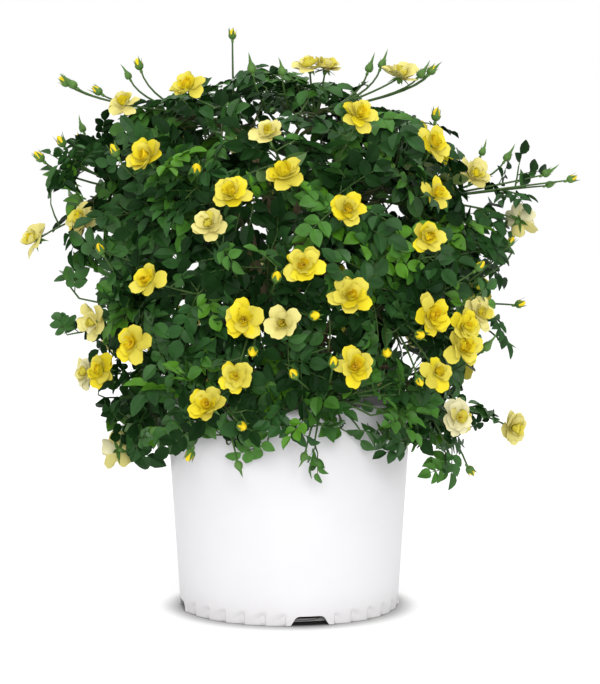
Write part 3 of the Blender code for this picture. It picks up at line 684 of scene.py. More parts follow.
def make_grain_group():
    """A fine height pattern that can be stretched along Z."""
    inputs = {"Grain Scale": 400, "Stretch": 1}
    group, given, made = new_group("grain", inputs, {"Height": "Float", "Mask": "Float"})
    stretch = add_node(group, "CombineXYZ", {"X": 1, "Y": 1, "Z": given["Stretch"]}).outputs["Vector"]
    values = {0: object_place(group), 1: stretch}
    spot = add_node(group, "VectorMath", values, operation="MULTIPLY").outputs["Vector"]
    pattern = add_noise(group, spot, given["Grain Scale"], 4, 0.6)
    group.links.new(pattern, made["Height"])
    group.links.new(add_range(group, pattern, *GRAIN_EDGE), made["Mask"])
    return group


def foot_darkening(tree, _):
    """A mask that darkens the pot towards the ground: strongest there and fading upwards, broken up by
    patches.
    """
    place = object_place(tree)
    rise = add_node(tree, "SeparateXYZ", {"Vector": place}).outputs["Z"]
    fade = add_range(tree, rise, 0, FOOT_DARK_REACH, 1, 0)
    patches = add_noise(tree, place, FOOT_DARK_SCALE, 4, 0.6)
    return add_node(tree, "Math", {0: fade, 1: patches}, operation="MULTIPLY").outputs["Value"]


def bark_streaks(tree, grain):
    """A mask of pale streaks along the grain."""
    return add_range(tree, grain["Mask"], 0, 1, 0, STREAK_STRENGTH)


def new_material(name, roughness, gloss):
    """A material, and its Principled shader's inputs, on which plain values are set."""
    material = bpy.data.materials.new(name)
    material.use_nodes = True
    shader = material.node_tree.nodes["Principled BSDF"].inputs
    shader["Roughness"].default_value = roughness
    shader["Specular IOR Level"].default_value = gloss
    return material, material.node_tree, shader


def surface_material(groups, name, colour, patch, patch_scale, roughness, gloss, relief, over):
    """A material whose colour drifts in patches, maybe with another laid over it, and with a fine relief."""
    material, tree, shader = new_material(name, roughness, gloss)
    scale, strength, depth, stretch = relief
    values = {"Colour": (*colour, 1), "Patch Colour": (*patch, 1), "Patch Scale": patch_scale}
    base = add_node(tree, "Group", values, node_tree=groups["mottle"]).outputs["Colour"]
    values = {"Grain Scale": scale, "Stretch": stretch}
    grain = add_node(tree, "Group", values, node_tree=groups["grain"]).outputs
    if over:
        mask, top = over
        base = add_mix(tree, mask(tree, grain), base, (*top, 1))
    tree.links.new(base, shader["Base Color"])
    bump = add_node(tree, "Bump", {"Strength": strength, "Distance": depth, "Height": grain["Height"]})
    tree.links.new(bump.outputs["Normal"], shader["Normal"])
    return material


def make_materials():
    """Every material by name: the plain surfaces, then what grows, patched with a shade of its own colour."""
    groups = dict(mottle=make_mottle_group(), grain=make_grain_group())
    growths = {name: (*look, GROWTH_GLOSS, LEAF_RELIEF) for name, look in GROWTHS.items()}
    for tone, colour in LEAF_TONES.items():
        growths["leaf_" + tone] = (colour, 0.6, 38, 0.46, LEAF_GLOSS.get(tone, OTHER_LEAF_GLOSS), LEAF_RELIEF)
    for tone, colour in PETAL_COLOURS.items():
        growths["petals_" + tone] = (colour, 0.93, 90, 0.55, GROWTH_GLOSS, PETAL_RELIEF)
    looks = dict(SURFACES)
    for name, (colour, shade, *look) in growths.items():
        looks[name] = (colour, [value * shade for value in colour], *look)
    # The pot's foot is darker towards the ground, and the bark has pale streaks.
    overlays = {"white_plastic": (foot_darkening, FOOT_DARK_COLOUR), "cane_bark": (bark_streaks, STREAK_COLOUR)}
    return {name: surface_material(groups, name, *look, overlays.get(name)) for name, look in looks.items()}


# ------------------------------------------------------------ pot and potting mix


def pot_wall_radius(height):
    return POT_FOOT_RADIUS + (POT_TOP_RADIUS - POT_FOOT_RADIUS) * height / POT_HEIGHT


def around_pot(bearing):
    """Turns the +X direction to a bearing about the pot's axis."""
    return turned_by(bearing - 90)


def flute_depth(bearing, height):
    """How far the foot's saw-like flutes stand back from the wall."""
    from_recess = (bearing - RECESS_BEARINGS[0] + 45) % 90 - 45
    if abs(from_recess) < FLUTE_FREE_ANGLE:
        return 0
    from_front = (bearing - RECESS_BEARINGS[0] + 180) % 360 - 180
    share = abs(from_front) * FLUTES / 360 % 1
    arch = FLUTE_HEIGHT * (1 - 0.5 * share)
    rounding = share_between(arch - height, 0, FLUTE_ROUNDING)
    slope = min(1, share / FLUTE_CREST) * (1 - max(0, share - FLUTE_CREST) / (1 - FLUTE_CREST)) ** 1.6
    return FLUTE_DEPTH * slope * rounding


def recess_prism(shape, bearing, inner, outer, border):
    """Adds a drainage recess's rounded prism, grown by a border, between two radii."""
    foot, top = RECESS_FOOT_WIDTH / 2 + border, RECESS_TOP_WIDTH / 2 + border
    low = POT_FLOOR / 2 if border else -2 * POT_FLOOR
    outline = [(-foot, low), (foot, low), (top, RECESS_HEIGHT + border), (-top, RECESS_HEIGHT + border)]
    corners = [shape.verts.new((inner, across, height)) for across, height in outline]
    face = shape.faces.new(corners)
    grown = bmesh.ops.extrude_face_region(shape, geom=[face], use_keep_orig=True)["geom"]
    far = [part for part in grown if isinstance(part, bmesh.types.BMVert)]
    bmesh.ops.translate(shape, verts=far, vec=(outer - inner, 0, 0))
    ridges = [
        edge
        for corner in corners[2:]
        for edge in corner.link_edges
        if abs(edge.verts[0].co.x - edge.verts[1].co.x) > 1 * MM
    ]
    rounded = bmesh.ops.bevel(
        shape, geom=ridges, offset=RECESS_ROUNDING, affect="EDGES", segments=4, profile=0.5, material=-1
    )
    own = [corner for corner in {*corners, *far, *rounded["verts"]} if corner.is_valid]
    bmesh.ops.transform(shape, matrix=around_pot(bearing), verts=own)


def make_pot(materials):
    """The pot as one turned wall with its lip and flutes, with recesses and drain slots cut in its foot."""
    inside_foot = pot_wall_radius(POT_FLOOR) - POT_WALL
    heights = [*np.linspace(*FLUTE_SPAN, FLUTE_ROWS) * MM, *np.linspace(28 * MM, POT_HEIGHT - LIP_HEIGHT, 12)]
    profile = [(0, 0), (POT_FOOT_RADIUS * 0.5, 0), (POT_FOOT_RADIUS - 0.8 * MM, 0)]
    profile += [(pot_wall_radius(height), height) for height in heights]
    profile += [
        (POT_TOP_RADIUS + LIP_PROUD * out, POT_HEIGHT - LIP_HEIGHT * below)
        for out, below in ((0.8, 0.86), (1, 0.7), (1, 0.25), (0.75, 0.06), (0.3, 0))
    ]
    profile += [
        (POT_TOP_RADIUS - POT_WALL * 0.8, POT_HEIGHT),
        (POT_TOP_RADIUS - POT_WALL, POT_HEIGHT - 0.6 * MM),
        (inside_foot + 4 * MM, POT_FLOOR + 60 * MM),
        (inside_foot, POT_FLOOR),
        (0, POT_FLOOR),
    ]
    shape = turned(profile, FLUTES * FLUTE_STEPS)
    for corner in shape.verts:
        radius = corner.co.xy.length
        if corner.co.z < 24 * MM and radius > inside_foot + POT_WALL / 2:
            bearing = math.degrees(math.atan2(corner.co.x, -corner.co.y))
            corner.co.xy *= 1 - flute_depth(bearing, corner.co.z) / radius
    pot = object_from("pot_shell", shape)
    inner = POT_FOOT_RADIUS - RECESS_DEPTH
    middle = moved((inner - RECESS_WALL / 2, 0, RECESS_HEIGHT * 0.5))
    bore = turned_by(0, 90) @ scaled(DRAIN_HEIGHT / 2, DRAIN_WIDTH / 2, 4 * RECESS_WALL)
    housings, recesses, drains = bmesh.new(), bmesh.new(), bmesh.new()
    for bearing in RECESS_BEARINGS:
        recess_prism(housings, bearing, inner - RECESS_WALL, POT_FOOT_RADIUS - POT_WALL / 2, RECESS_WALL)
        recess_prism(recesses, bearing, inner, POT_FOOT_RADIUS * 1.1, 0)
        bmesh.ops.create_cone(
            drains, cap_ends=True, segments=28, radius1=1, radius2=1, depth=1,
            matrix=around_pot(bearing) @ middle @ bore,
        )
    helpers = [
        ("UNION", object_from("recess_housings", housings)),
        ("DIFFERENCE", object_from("recesses", recesses)),
        ("DIFFERENCE", object_from("drain_holes", drains)),
    ]
    cut_and_join(pot, helpers)
    finish_piece(pot, materials["white_plastic"], ["pot"], sharp_angle=38)


def make_potting_mix(materials):
    """The root ball with a bumpy top, and bark chips and perlite lying in it."""
    shoulder = RECESS_HEIGHT + RECESS_WALL + SOIL_CLEARANCE
    foot = POT_FOOT_RADIUS - RECESS_DEPTH - RECESS_WALL - SOIL_CLEARANCE
    edge = SOIL_HEIGHT - SOIL_FALL

    def reach(height):
        return pot_wall_radius(height) - POT_WALL - 0.6 * MM

    floor = POT_FLOOR + 0.3 * MM
    profile = [(0, floor), (foot, floor), (foot, shoulder), (reach(shoulder), shoulder)]
    profile += [
        (reach(edge) * share, edge + SOIL_FALL * min(1, (1 - share) * 3))
        for share in np.linspace(1, 0, SOIL_ROWS)
    ]
    shape = turned(profile, SOIL_SEGMENTS)
    for corner in shape.verts:
        if corner.co.z > edge - 0.1 * MM and corner.co.xy.length < reach(edge) - 1 * MM:
            corner.co.z += SOIL_BUMP * (noise.noise(corner.co * 90) + 0.6 * noise.noise(corner.co * 260))
    soil = object_from("potting_mix", shape)
    finish_piece(soil, materials["potting_mix"], ["root_ball"])

    chance = random.Random(SOIL_SEED)
    flake = bmesh.new()
    bmesh.ops.create_icosphere(flake, subdivisions=1, radius=1)
    for corner in flake.verts:
        corner.co *= 1 + 0.3 * noise.noise(corner.co * 2)
    forms = {"flake": form_arrays(flake)}
    for name, (count, sizes) in SOIL_BITS.items():
        placed = []
        for _ in range(count):
            radius = reach(edge) * 0.97 * math.sqrt(chance.random())
            turn = chance.uniform(0, math.tau)
            place = moved((radius * math.cos(turn), radius * math.sin(turn), SOIL_HEIGHT - 0.5 * MM))
            scale = scaled(*(chance.uniform(*span) * MM for span in sizes))
            tilt = turned_by(chance.uniform(0, 360), 0, chance.uniform(-24, 24))
            placed.append(("flake", place @ tilt @ scale))
        finish_piece(joined_copies(name, forms, placed), materials[name], ["root_ball"])


# ------------------------------------------------------------ stem and canes


def plan_masses():
    """Every mass: its name, its centre and the path of the cane that carries it."""
    masses = []
    for tier, (count, first, *spots) in TIERS.items():
        (radius, height), *cane = in_mm(spots)
        for index in range(count):
            bearing = first + 360 * index / count
            centre = around(bearing, radius, height + STAGGER * (-1) ** index)
            root, bend, tip = (around(bearing, *spot) for spot in cane)
            root.x += (root.z - SOIL_HEIGHT) * STEM_LEAN - LEAN_LOW
            path = curve_points(root, bend, tip, CANE_RINGS)
            masses.append(dict(name=f"{tier}_{index + 1}", centre=centre, cane=path))
    return masses


def roughen(thing, depth, size):
    """Pushes a mesh's corners in and out for bark relief, in ridges that run up it."""
    for corner in thing.data.vertices:
        spot = corner.co / size
        ridges = noise.noise(Vector((spot.x, spot.y, spot.z * 0.25)))
        knots = noise.noise(corner.co / (size * 4) + Vector((7, 3, 1)))
        corner.co += corner.normal * depth * (ridges + 0.8 * knots)


def make_stem(materials):
    """The short main stem, flared at the soil and rounded at its tip."""
    profile = [(0, SOIL_HEIGHT - STEM_SUNK)]
    for share in np.linspace(0, 1, STEM_ROWS):
        flare = (STEM_FLARE_RADIUS - STEM_NECK_RADIUS) * math.exp(-7 * share)
        radius = flare + STEM_NECK_RADIUS + (STEM_TIP_RADIUS - STEM_NECK_RADIUS) * share
        crest = 1 - max(0, share - 0.94) ** 2 * 110
        profile.append((radius * crest, SOIL_HEIGHT - STEM_SUNK + (STEM_HEIGHT + STEM_SUNK) * share))
    profile.append((0, SOIL_HEIGHT + STEM_HEIGHT))
    shape = turned(profile, 32)
    for corner in shape.verts:
        corner.co.x += (corner.co.z - SOIL_HEIGHT) * STEM_LEAN
    stem = object_from("main_stem_bark", shape)
    roughen(stem, 1.1 * MM, 5 * MM)
    finish_piece(stem, materials["cane_bark"], ["main_stem"])


def prickle_form():
    """A hooked prickle along +Z, one long."""
    shape = bmesh.new()
    bmesh.ops.create_cone(
        shape, cap_ends=True, segments=6, radius1=0.3, radius2=0.02, depth=1, matrix=moved((0, 0, 0.5))
    )
    for corner in shape.verts:
        corner.co.x = corner.co.x * 1.8 - 0.35 * corner.co.z**2
    return form_arrays(shape)


def make_canes(masses, materials):
    """Every cane as one barky tube, and the hooked prickles on them."""
    names = ["cane_" + mass["name"] for mass in masses]
    paths = [mass["cane"] for mass in masses]
    radii = taper(CANE_RADIUS, CANE_TIP_RADIUS, CANE_RINGS)
    canes = joined_tubes("canes_bark", [(path, radii) for path in paths], resolution=4)
    roughen(canes, 0.3 * MM, 4 * MM)
    finish_piece(canes, materials["cane_bark"], names)

    chance = random.Random(PRICKLE_SEED)
    placed = []
    for path in paths:
        for _ in range(PRICKLES_PER_CANE):
            share = chance.uniform(0.15, 0.95)
            way = (along(path, min(1, share + 0.02)) - along(path, share - 0.02)).normalized()
            side = Matrix.Rotation(chance.uniform(0, math.tau), 3, way) @ way.orthogonal().normalized()
            foot = moved(along(path, share) + side * CANE_TIP_RADIUS * 0.7)
            turn = Matrix((way, side.cross(way), side)).transposed().to_4x4()
            placed.append(("prickle", foot @ turn @ scaled(PRICKLE_LENGTH * chance.uniform(0.6, 1))))
    prickles = joined_copies("prickles", {"prickle": prickle_form()}, placed)
    finish_piece(prickles, materials["withered_petals"], names)


# ------------------------------------------------------------ growth


def spread_by_area(count):
    """Heights that share the crown's surface out evenly."""
    heights = np.linspace(CROWN_PROFILE[0][0], CROWN_PROFILE[-1][0], 400)
    radii = crown_radius(heights)
    area = np.cumsum(radii * np.hypot(np.gradient(radii), np.gradient(heights)))
    return np.interp((np.arange(count) + 0.5) / count, area / area[-1], heights)


def plan_shoots():
    """Every shoot's bearing, height, out, kind and tone: leafy ones spread by area, sprigs, then blooms."""
    chance = random.Random(SHOOT_SEED)
    shoots = []
    for index, height in enumerate(spread_by_area(LEAFY_SHOOTS)):
        bearing = index * GOLDEN_ANGLE + chance.uniform(-SHOOT_SPREAD, SHOOT_SPREAD)
        out = chance.uniform(*SHOOT_OUT) * (1 - TOP_LIFT * share_between(height, LEVEL_START, LEVEL_END))
        shoots.append((bearing, height, out, "leafy", None))
    lists = [("sprig", None, SPRIGS)]
    lists += [("blossom", tone, places) for tone, places in BLOSSOMS.items()]
    lists += [("bud", "yellow", YELLOW_BUDS), ("bud", "green", GREEN_BUDS)]
    for kind, tone, places in lists:
        shoots += [(bearing, height * MM, out * MM, kind, tone) for bearing, height, out in places]
    heights = spread_by_area(BACK_BLOOMS)
    for index, height in enumerate(heights):
        height = BACK_LOWEST + (BACK_HIGHEST - BACK_LOWEST) * share_between(height, heights[0], heights[-1])
        bearing = BACK_START + BACK_SWEEP * (index * GOLDEN_ANGLE / 360 % 1)
        out = BACK_OUTS[index % len(BACK_OUTS)] * MM
        if out > BACK_BUD_OUT:
            shoots.append((bearing, height, out, "bud", "yellow"))
            shoots.append((bearing + TWIN_TURN, height + TWIN_STEP, out - TWIN_STEP, "bud", "green"))
        else:
            shoots.append((bearing, height, out, "blossom", BACK_TONES[index % len(BACK_TONES)]))
    return shoots


def side_turn(spot, chance):
    """How far what grows at the bush's sides turns to its front or its back, where the light is."""
    share = min(1, abs(spot.x) / SIDE_TURN_REACH) ** 2
    front = spot.y < chance.uniform(-SIDE_BLUR, SIDE_BLUR)
    return Vector((0, -share if front else share, 0))


def bloom_axis(bearing, height, kind, twig, chance):
    """The way that a bloom faces."""
    if kind == "bud":
        return ((twig[-1] - twig[-3]).normalized() + UP * BUD_UPTURN).normalized()
    turn = side_turn(twig[-1], chance) * BLOOM_SIDE_TURN
    turn += UP * BLOOM_UPTURN + scattered(chance, BLOOM_SCATTER)
    return (crown_normal(bearing, height) + turn).normalized()


def spray_place(foot, bearing, height, spin, lift, ahead, towards):
    """Where a spray stands: its foot, its way along the crown's surface and its face to the outside."""
    turn, spin, lift = (math.radians(angle) for angle in (bearing, spin, lift))
    normal = crown_normal(bearing, height)
    level = Vector((math.cos(turn), math.sin(turn), 0))
    flat = level * math.cos(spin) + normal.cross(level) * math.sin(spin)
    hang = share_between(height, HANG_START, HANG_END)
    direction = flat * math.cos(lift) + normal * math.sin(lift) + UP * SPRAY_RISE * (1 - 2 * hang) + ahead
    if direction.z < 0:
        direction.z *= SPRAY_SINK + (1 - SPRAY_SINK) * hang
    return moved(foot) @ facing(direction, normal + towards)


class Growth:
    """Collects what grows: tube runs and placed copies for each piece by name, shoots and blooms."""

    def __init__(self):
        self.runs = defaultdict(list)
        self.copies = defaultdict(list)
        self.shoots = []
        self.blooms = []


def pick_tone(chance, tones):
    return chance.choices(list(tones), weights=list(tones.values()))[0]


def grow_leaf(place, size, pairs, tone, chance):
    """A whole leaf: its stalk, then pairs of leaflets and one at the end."""
    length = (STALK_FOOT + PAIR_STEP * pairs) * size
    end = place @ Vector((length, 0, 0)) - UP * length * STALK_DROOP
    middle = place @ Vector((length * 0.5, 0, 0.03 * length))
    stalk = curve_points(place.translation, middle, end, 3)
    leaflets = []
    for pair in range(pairs + 1):
        ending = pair == pairs
        share = (STALK_FOOT + PAIR_STEP * pair) * size / length
        way = (along(stalk, min(1, share + 0.1)) - along(stalk, share - 0.12)).normalized()
        base = moved(along(stalk, min(1, share))) @ facing(way, place.to_3x3() @ UP)
        scale = END_LEAFLET_SIZE if ending else PAIR_SIZES[pair + 3 - pairs]
        for side in (0,) if ending else (-1, 1):
            spread = side * chance.uniform(*LEAFLET_SPREAD) * (1 - 0.12 * pair)
            pitch = chance.uniform(*LEAFLET_PITCH)
            turn = turned_by(spread, pitch, chance.uniform(-LEAFLET_TILT, LEAFLET_TILT))
            reach = LEAFLET_LENGTH * size * scale * chance.uniform(*LEAFLET_SIZES)
            leaflets.append((chance.choice(list(LEAFLET_FORMS)), base @ turn @ scaled(reach)))
    return dict(tone=tone, stalk=stalk, leaflets=leaflets)


def grow_spray(place, length, tones, limits, chance):
    """A side twig, and whole leaves that fan out from it and keep within the outline."""
    count = chance.choice(SPRAY_LEAVES)
    reach = length * SPRAY_TWIG_SHARE
    end = place @ Vector((reach, 0, 0.08 * reach))
    middle = place @ Vector((reach * 0.5, 0, 0.1 * reach))
    twig = curve_points(place.translation, middle, end, 3)
    tone = pick_tone(chance, tones)
    hand = chance.choice((-1, 1))
    leaves = []
    for order in range(count):
        share = 0.15 + 0.85 * order / (count - 1)
        if order == count - 1:
            fan = chance.uniform(*END_LEAF_FAN)
        else:
            fan = hand * (-1) ** order * chance.uniform(*LEAF_FAN)
        turn = turned_by(fan, -chance.uniform(*LEAF_PITCH), chance.uniform(-LEAF_ROLL, LEAF_ROLL))
        stand = moved(along(twig, share)) @ place.to_3x3().to_4x4() @ turn
        size = length / SPRAY_LENGTH * chance.uniform(*LEAF_SIZES)
        own_tone = tone if chance.random() < OWN_TONE_SHARE else pick_tone(chance, tones)
        leaf = grow_leaf(stand, size, chance.choice(LEAF_PAIRS), own_tone, chance)
        if within_outline(leaflet_points(leaf), *limits):
            leaves.append(dict(leaf, share=share))
    return twig, leaves


def leaflet_points(leaf):
    """Foot, middle, tip and sides of each of a leaf's leaflets."""
    matrices = np.array([place for _, place in leaf["leaflets"]])
    spots = np.array([(0, 0, 0, 1), (0.5, 0, 0, 1), (1, 0, 0, 1), (0.5, 0.3, 0, 1), (0.5, -0.3, 0, 1)])
    return np.einsum("nij,kj->nki", matrices, spots)[..., :3]


def within_outline(points, beyond, below):
    """Whether the points keep within the bulk's wavy outline and above its hem, but for what is allowed."""
    height = points[..., 2]
    lean = REACH_LEAN * smooth(share_between(height, REACH_LEAN_START, REACH_LEAN_END))
    across = points[..., 0] - lean
    turn = np.arctan2(across, -points[..., 1])
    wave = 0.6 * np.sin(turn * 7 + height * 38) + 0.4 * np.sin(turn * 13 - height * 61 + 2)
    reach = np.interp(height, *zip(*LEAF_REACH)) + REACH_WAVE * wave + beyond
    ripple = (np.sin(turn * 5 + 0.6) + 0.7 * np.sin(turn * 11 + 2)) / 1.7
    sideways = np.sin(turn)
    hem = HEM_HEIGHT - HEM_SIDE_DROP * np.abs(sideways) + HEM_RIGHT_RISE * np.maximum(0, sideways)
    hem += HEM_WAVE * ripple - below
    return bool(((np.hypot(across, points[..., 1]) < reach) & (height > hem)).all())


def grow_mass(growth, mass, index, shoots):
    """Grows a mass on from its cane: its stem, then a twig for each shoot, its sprays and its bloom."""
    chance = random.Random(MASS_SEED + index)
    tips = [(sunk_point if shoot[3] == "leafy" else crown_point)(*shoot[:3]) for shoot in shoots]
    way = (mass["cane"][-1] - mass["cane"][-2]).normalized()
    start = mass["cane"][-1] - way * STEM_OVERLAP
    heart = start.lerp(sum(tips, Vector()) / len(tips), STEM_REACH)
    bend = start + way * (heart - start).length * 0.4
    stem = curve_points(start, bend, heart, TWIG_RINGS)
    growth.runs["brown_twigs"].append((stem, taper(CANE_TIP_RADIUS, TWIG_RADIUS, TWIG_RINGS)))
    spots = [along(stem, share) for share in STEM_SPOTS]
    for order, ((bearing, height, out, kind, tone), tip) in enumerate(zip(shoots, tips)):
        beyond = chance.uniform(*REACH_SPREAD) + max(0, out) * REACH_BEYOND
        limits = (beyond, HEM_BEYOND if kind != "leafy" and height < LOW_END else 0)
        if kind == "leafy" and not within_outline(np.array(tip), *limits):
            continue
        bend, rise, drop = SHOOT_BEND, SHOOT_RISE, 0
        if kind == "bud" and height > LEVEL_START:
            bend, rise, drop = BUD_BEND, BUD_RISE, BUD_DROP
        aim = tip.lerp(start, 0.4) - UP * drop
        spot = min(spots, key=lambda place: (place - aim).length)
        arch = spot.lerp(tip, bend)
        arch.z = spot.z + (tip.z - spot.z) * rise + (tip - spot).length * SHOOT_ARCH
        twig = curve_points(spot, arch, tip, TWIG_RINGS)
        sprays = []
        growth.shoots.append((kind, twig, sprays))
        if kind in ("blossom", "bud"):
            growth.blooms.append((kind, tone, tip, bloom_axis(bearing, height, kind, twig, chance)))
        spin = order * GOLDEN_ANGLE + chance.uniform(-SPRAY_TURN, SPRAY_TURN)
        level = share_between(height, LEVEL_START, LEVEL_END)
        shares, leaf_size = SHOOT_KINDS[kind]
        for step, share in enumerate(shares):
            lift = chance.uniform(*SPRAY_LIFT)
            length = SPRAY_LENGTH * leaf_size * chance.uniform(*SPRAY_GROWTH)
            scatter = scattered(chance, 1) * SPRAY_SCATTER
            foot = along(twig, share)
            upturn = chance.uniform(*SPRAY_UPTURN) * (1 + LEVEL_UPTURN * level)
            towards = UP * upturn + scatter + side_turn(foot, chance) * LEAF_SIDE_TURN
            ahead = (foot - along(twig, share - 0.1)).normalized() * (SPRIG_AHEAD if kind == "sprig" else 0)
            place = spray_place(foot, bearing, height, spin + step * GOLDEN_ANGLE, lift, ahead, towards)
            tones = TONES_SPRIG if kind == "sprig" else TONES_OUTSIDE if share > 0.6 else TONES_INSIDE
            sprays.append((share, *grow_spray(place, length, tones, limits, chance)))


# ------------------------------------------------------------ leaves and twigs


def leaflet_form(width, fold, bend, seed):
    """A leaflet along +X, one long, folded along its middle, with its face to +Z."""

    def place(share, side):
        row = round(share * 5)
        share = LEAFLET_STATIONS[row]
        half = width / 2 * LEAFLET_HALVES[row]
        wave = 0.025 * math.sin(share * 7 + seed) * side
        return Vector((share, half * side, fold * half * abs(side) - bend * share * share + wave))

    return sheet_form(5, 2, LEAFLET_THICKNESS / LEAFLET_LENGTH, place)


def bloom_clearings(blooms):
    """Balls in front of the blooms that leaves keep out of: centres and radii."""
    centres, radii = [], []
    for kind, _, tip, axis in blooms:
        reach = BLOSSOM_RADIUS if kind == "blossom" else BUD_RADIUS
        outward = Vector((tip.x, tip.y, 0)).normalized()
        for way in (axis, outward, (axis + outward).normalized()):
            centres += [tip + way * reach * step for step in CLEARING_STEPS]
            radii += [reach * CLEARING_SIZE] * len(CLEARING_STEPS)
    return np.array(centres), np.array(radii)


def keeps_clear(points, clearings):
    """Which of the leaflets keep out of the blooms and the pot, and inside the frame's box."""
    centres, radii = clearings
    low, high = (np.array(corner) for corner in frame_box)
    spread = np.linalg.norm(points[:, :, None] - centres, axis=3)
    off_blooms = (spread[:, 1:3] > radii).all(axis=(1, 2))
    inside_box = ((points > low + LEAF_CLEARANCE) & (points < high - LEAF_CLEARANCE)).all(axis=(1, 2))
    radius = np.hypot(points[..., 0], points[..., 1])
    height = points[..., 2]
    wall = pot_wall_radius(height)
    outside_pot = radius > wall + LIP_PROUD + LEAF_CLEARANCE
    in_pot = (radius < wall - POT_WALL - 2 * LEAF_CLEARANCE) & (height > SOIL_HEIGHT + LEAF_CLEARANCE)
    off_pot = (outside_pot | in_pot | (height > POT_HEIGHT + LEAF_CLEARANCE)).all(axis=1)
    return off_blooms & inside_box & off_pot


def keeps_open(points, chance):
    """Which of the leaflets keep out of the openings, but for a few."""
    middle = points[:, 1]
    away = 1 + middle[:, 1] / EYE_DISTANCE
    across = middle[:, 0] / away
    height = EYE_HEIGHT + (middle[:, 2] - EYE_HEIGHT) / away
    openings = np.array(OPENINGS) * MM
    spread = np.hypot(across[:, None] - openings[:, 0], height[:, None] - openings[:, 1])
    few = np.array([chance.random() < OPENINGS_KEPT for _ in points])
    return (spread > openings[:, 2]).all(axis=1) | few


def cut_path(path, share):
    """The first part of a path, with as many points."""
    return [along(path, share * part) for part in np.linspace(0, 1, len(path))]


def trim_shoots(growth):
    """Drops leaflets that meet something and leaves with few left, and cuts twigs back to their last leaf."""
    chance = random.Random(TRIM_SEED)
    clearings = bloom_clearings(growth.blooms)
    for kind, twig, sprays in growth.shoots:
        end = 1 if kind in ("blossom", "bud") else 0
        for place, side_twig, leaves in sprays:
            reach = 0
            for leaf in leaves:
                points = leaflet_points(leaf)
                kept = keeps_clear(points, clearings) & keeps_open(points, chance)
                if kept.mean() < LEAF_KEPT_SHARE:
                    continue
                reach = max(reach, leaf["share"])
                growth.runs["leaf_stalks"].append((leaf["stalk"], STALK_RADII))
                chosen = [leaflet for leaflet, keep in zip(leaf["leaflets"], kept) if keep]
                growth.copies["leaves_" + leaf["tone"]] += chosen
            if reach:
                growth.runs["green_twigs"].append((cut_path(side_twig, reach), SPRAY_RADII))
                end = max(end, place)
        if end:
            piece = "brown_twigs" if kind == "leafy" else "green_twigs"
            growth.runs[piece].append((cut_path(twig, end), taper(TWIG_RADIUS, TWIG_TIP_RADIUS, TWIG_RINGS)))


def make_leaves(growth, materials, foliage):
    """The leaflets, joined by tone."""
    forms = {name: leaflet_form(*numbers) for name, numbers in LEAFLET_FORMS.items()}
    trim_shoots(growth)
    for tone in LEAF_TONES:
        leaves = joined_copies("leaves_" + tone, forms, growth.copies["leaves_" + tone])
        finish_piece(leaves, materials["leaf_" + tone], foliage, sharp_angle=26)


def make_wood(growth, materials, foliage):
    """The twigs and leaf stalks as closed tubes."""
    for name, material, slot, resolution in (
        ("brown_twigs", "twig_bark", "cane_bark", 1),
        ("green_twigs", "green_stalks", "shoot_green", 1),
        ("leaf_stalks", "green_stalks", "shoot_green", 0),
    ):
        piece = joined_tubes(name, growth.runs[name], resolution)
        finish_piece(piece, materials[material], foliage, sharp_angle=70)


# ------------------------------------------------------------ blossoms and buds


def petal_form(cup, curl, roll, ruffle, seed):
    """A petal along +X, one long and one wide, with its inner face to +Z and a round end."""

    def place(share, side):
        turn = math.radians(82 * side)
        half = 0.5 * (0.22 + 0.78 * math.sin(min(1, share * 1.25) * math.pi / 2))
        lift = cup * share**2 - roll * share**4 + curl * side**2 * share
        lift += ruffle * share**2 * math.sin(side * 3.0 + seed)
        notch = PETAL_NOTCH * max(0, 1 - abs(side) * 3) * share**3
        return Vector((share * (0.56 + 0.44 * math.cos(turn)) - notch, half * math.sin(turn), lift))

    return sheet_form(3, 6, 0.025, place)


def make_petal_forms():
    forms = {"bud": round_form("bud")}
    for turn in range(4):
        seed = turn * 1.7
        forms[f"spoon_{turn}"] = petal_form(0.14, 0.07, 0.14 - 0.06 * turn, 0.06, seed)
        forms[f"cupped_{turn}"] = petal_form(0.22, 0.14, 0.0, 0.10, seed)
        forms[f"curled_{turn}"] = petal_form(0.34, 0.26, -0.12, 0.12, seed)
    return forms


def round_form(name):
    """A small closed body along +Z, turned from its profile and then wound or bent."""
    sides, profile = ROUND_FORMS[name]
    shape = turned(profile, sides)
    for corner in shape.verts:
        if name == "bud":
            corner.co.xy *= 1 + 0.09 * math.sin(math.atan2(corner.co.y, corner.co.x) * 5)
            corner.co = turned_by(corner.co.z * 70) @ corner.co
        elif name == "slim_bud":
            corner.co.x += 0.3 * max(0, corner.co.z - 0.4) ** 2
    return form_arrays(shape)


def sepal_place(share, side):
    """Where a narrow sepal's corners stand: it is one long along +X and curls at its tip."""
    half = SEPAL_HALVES[round(share * 5)]
    return Vector((share, half * side, 0.12 * half * side**2 - 0.12 * share**3))


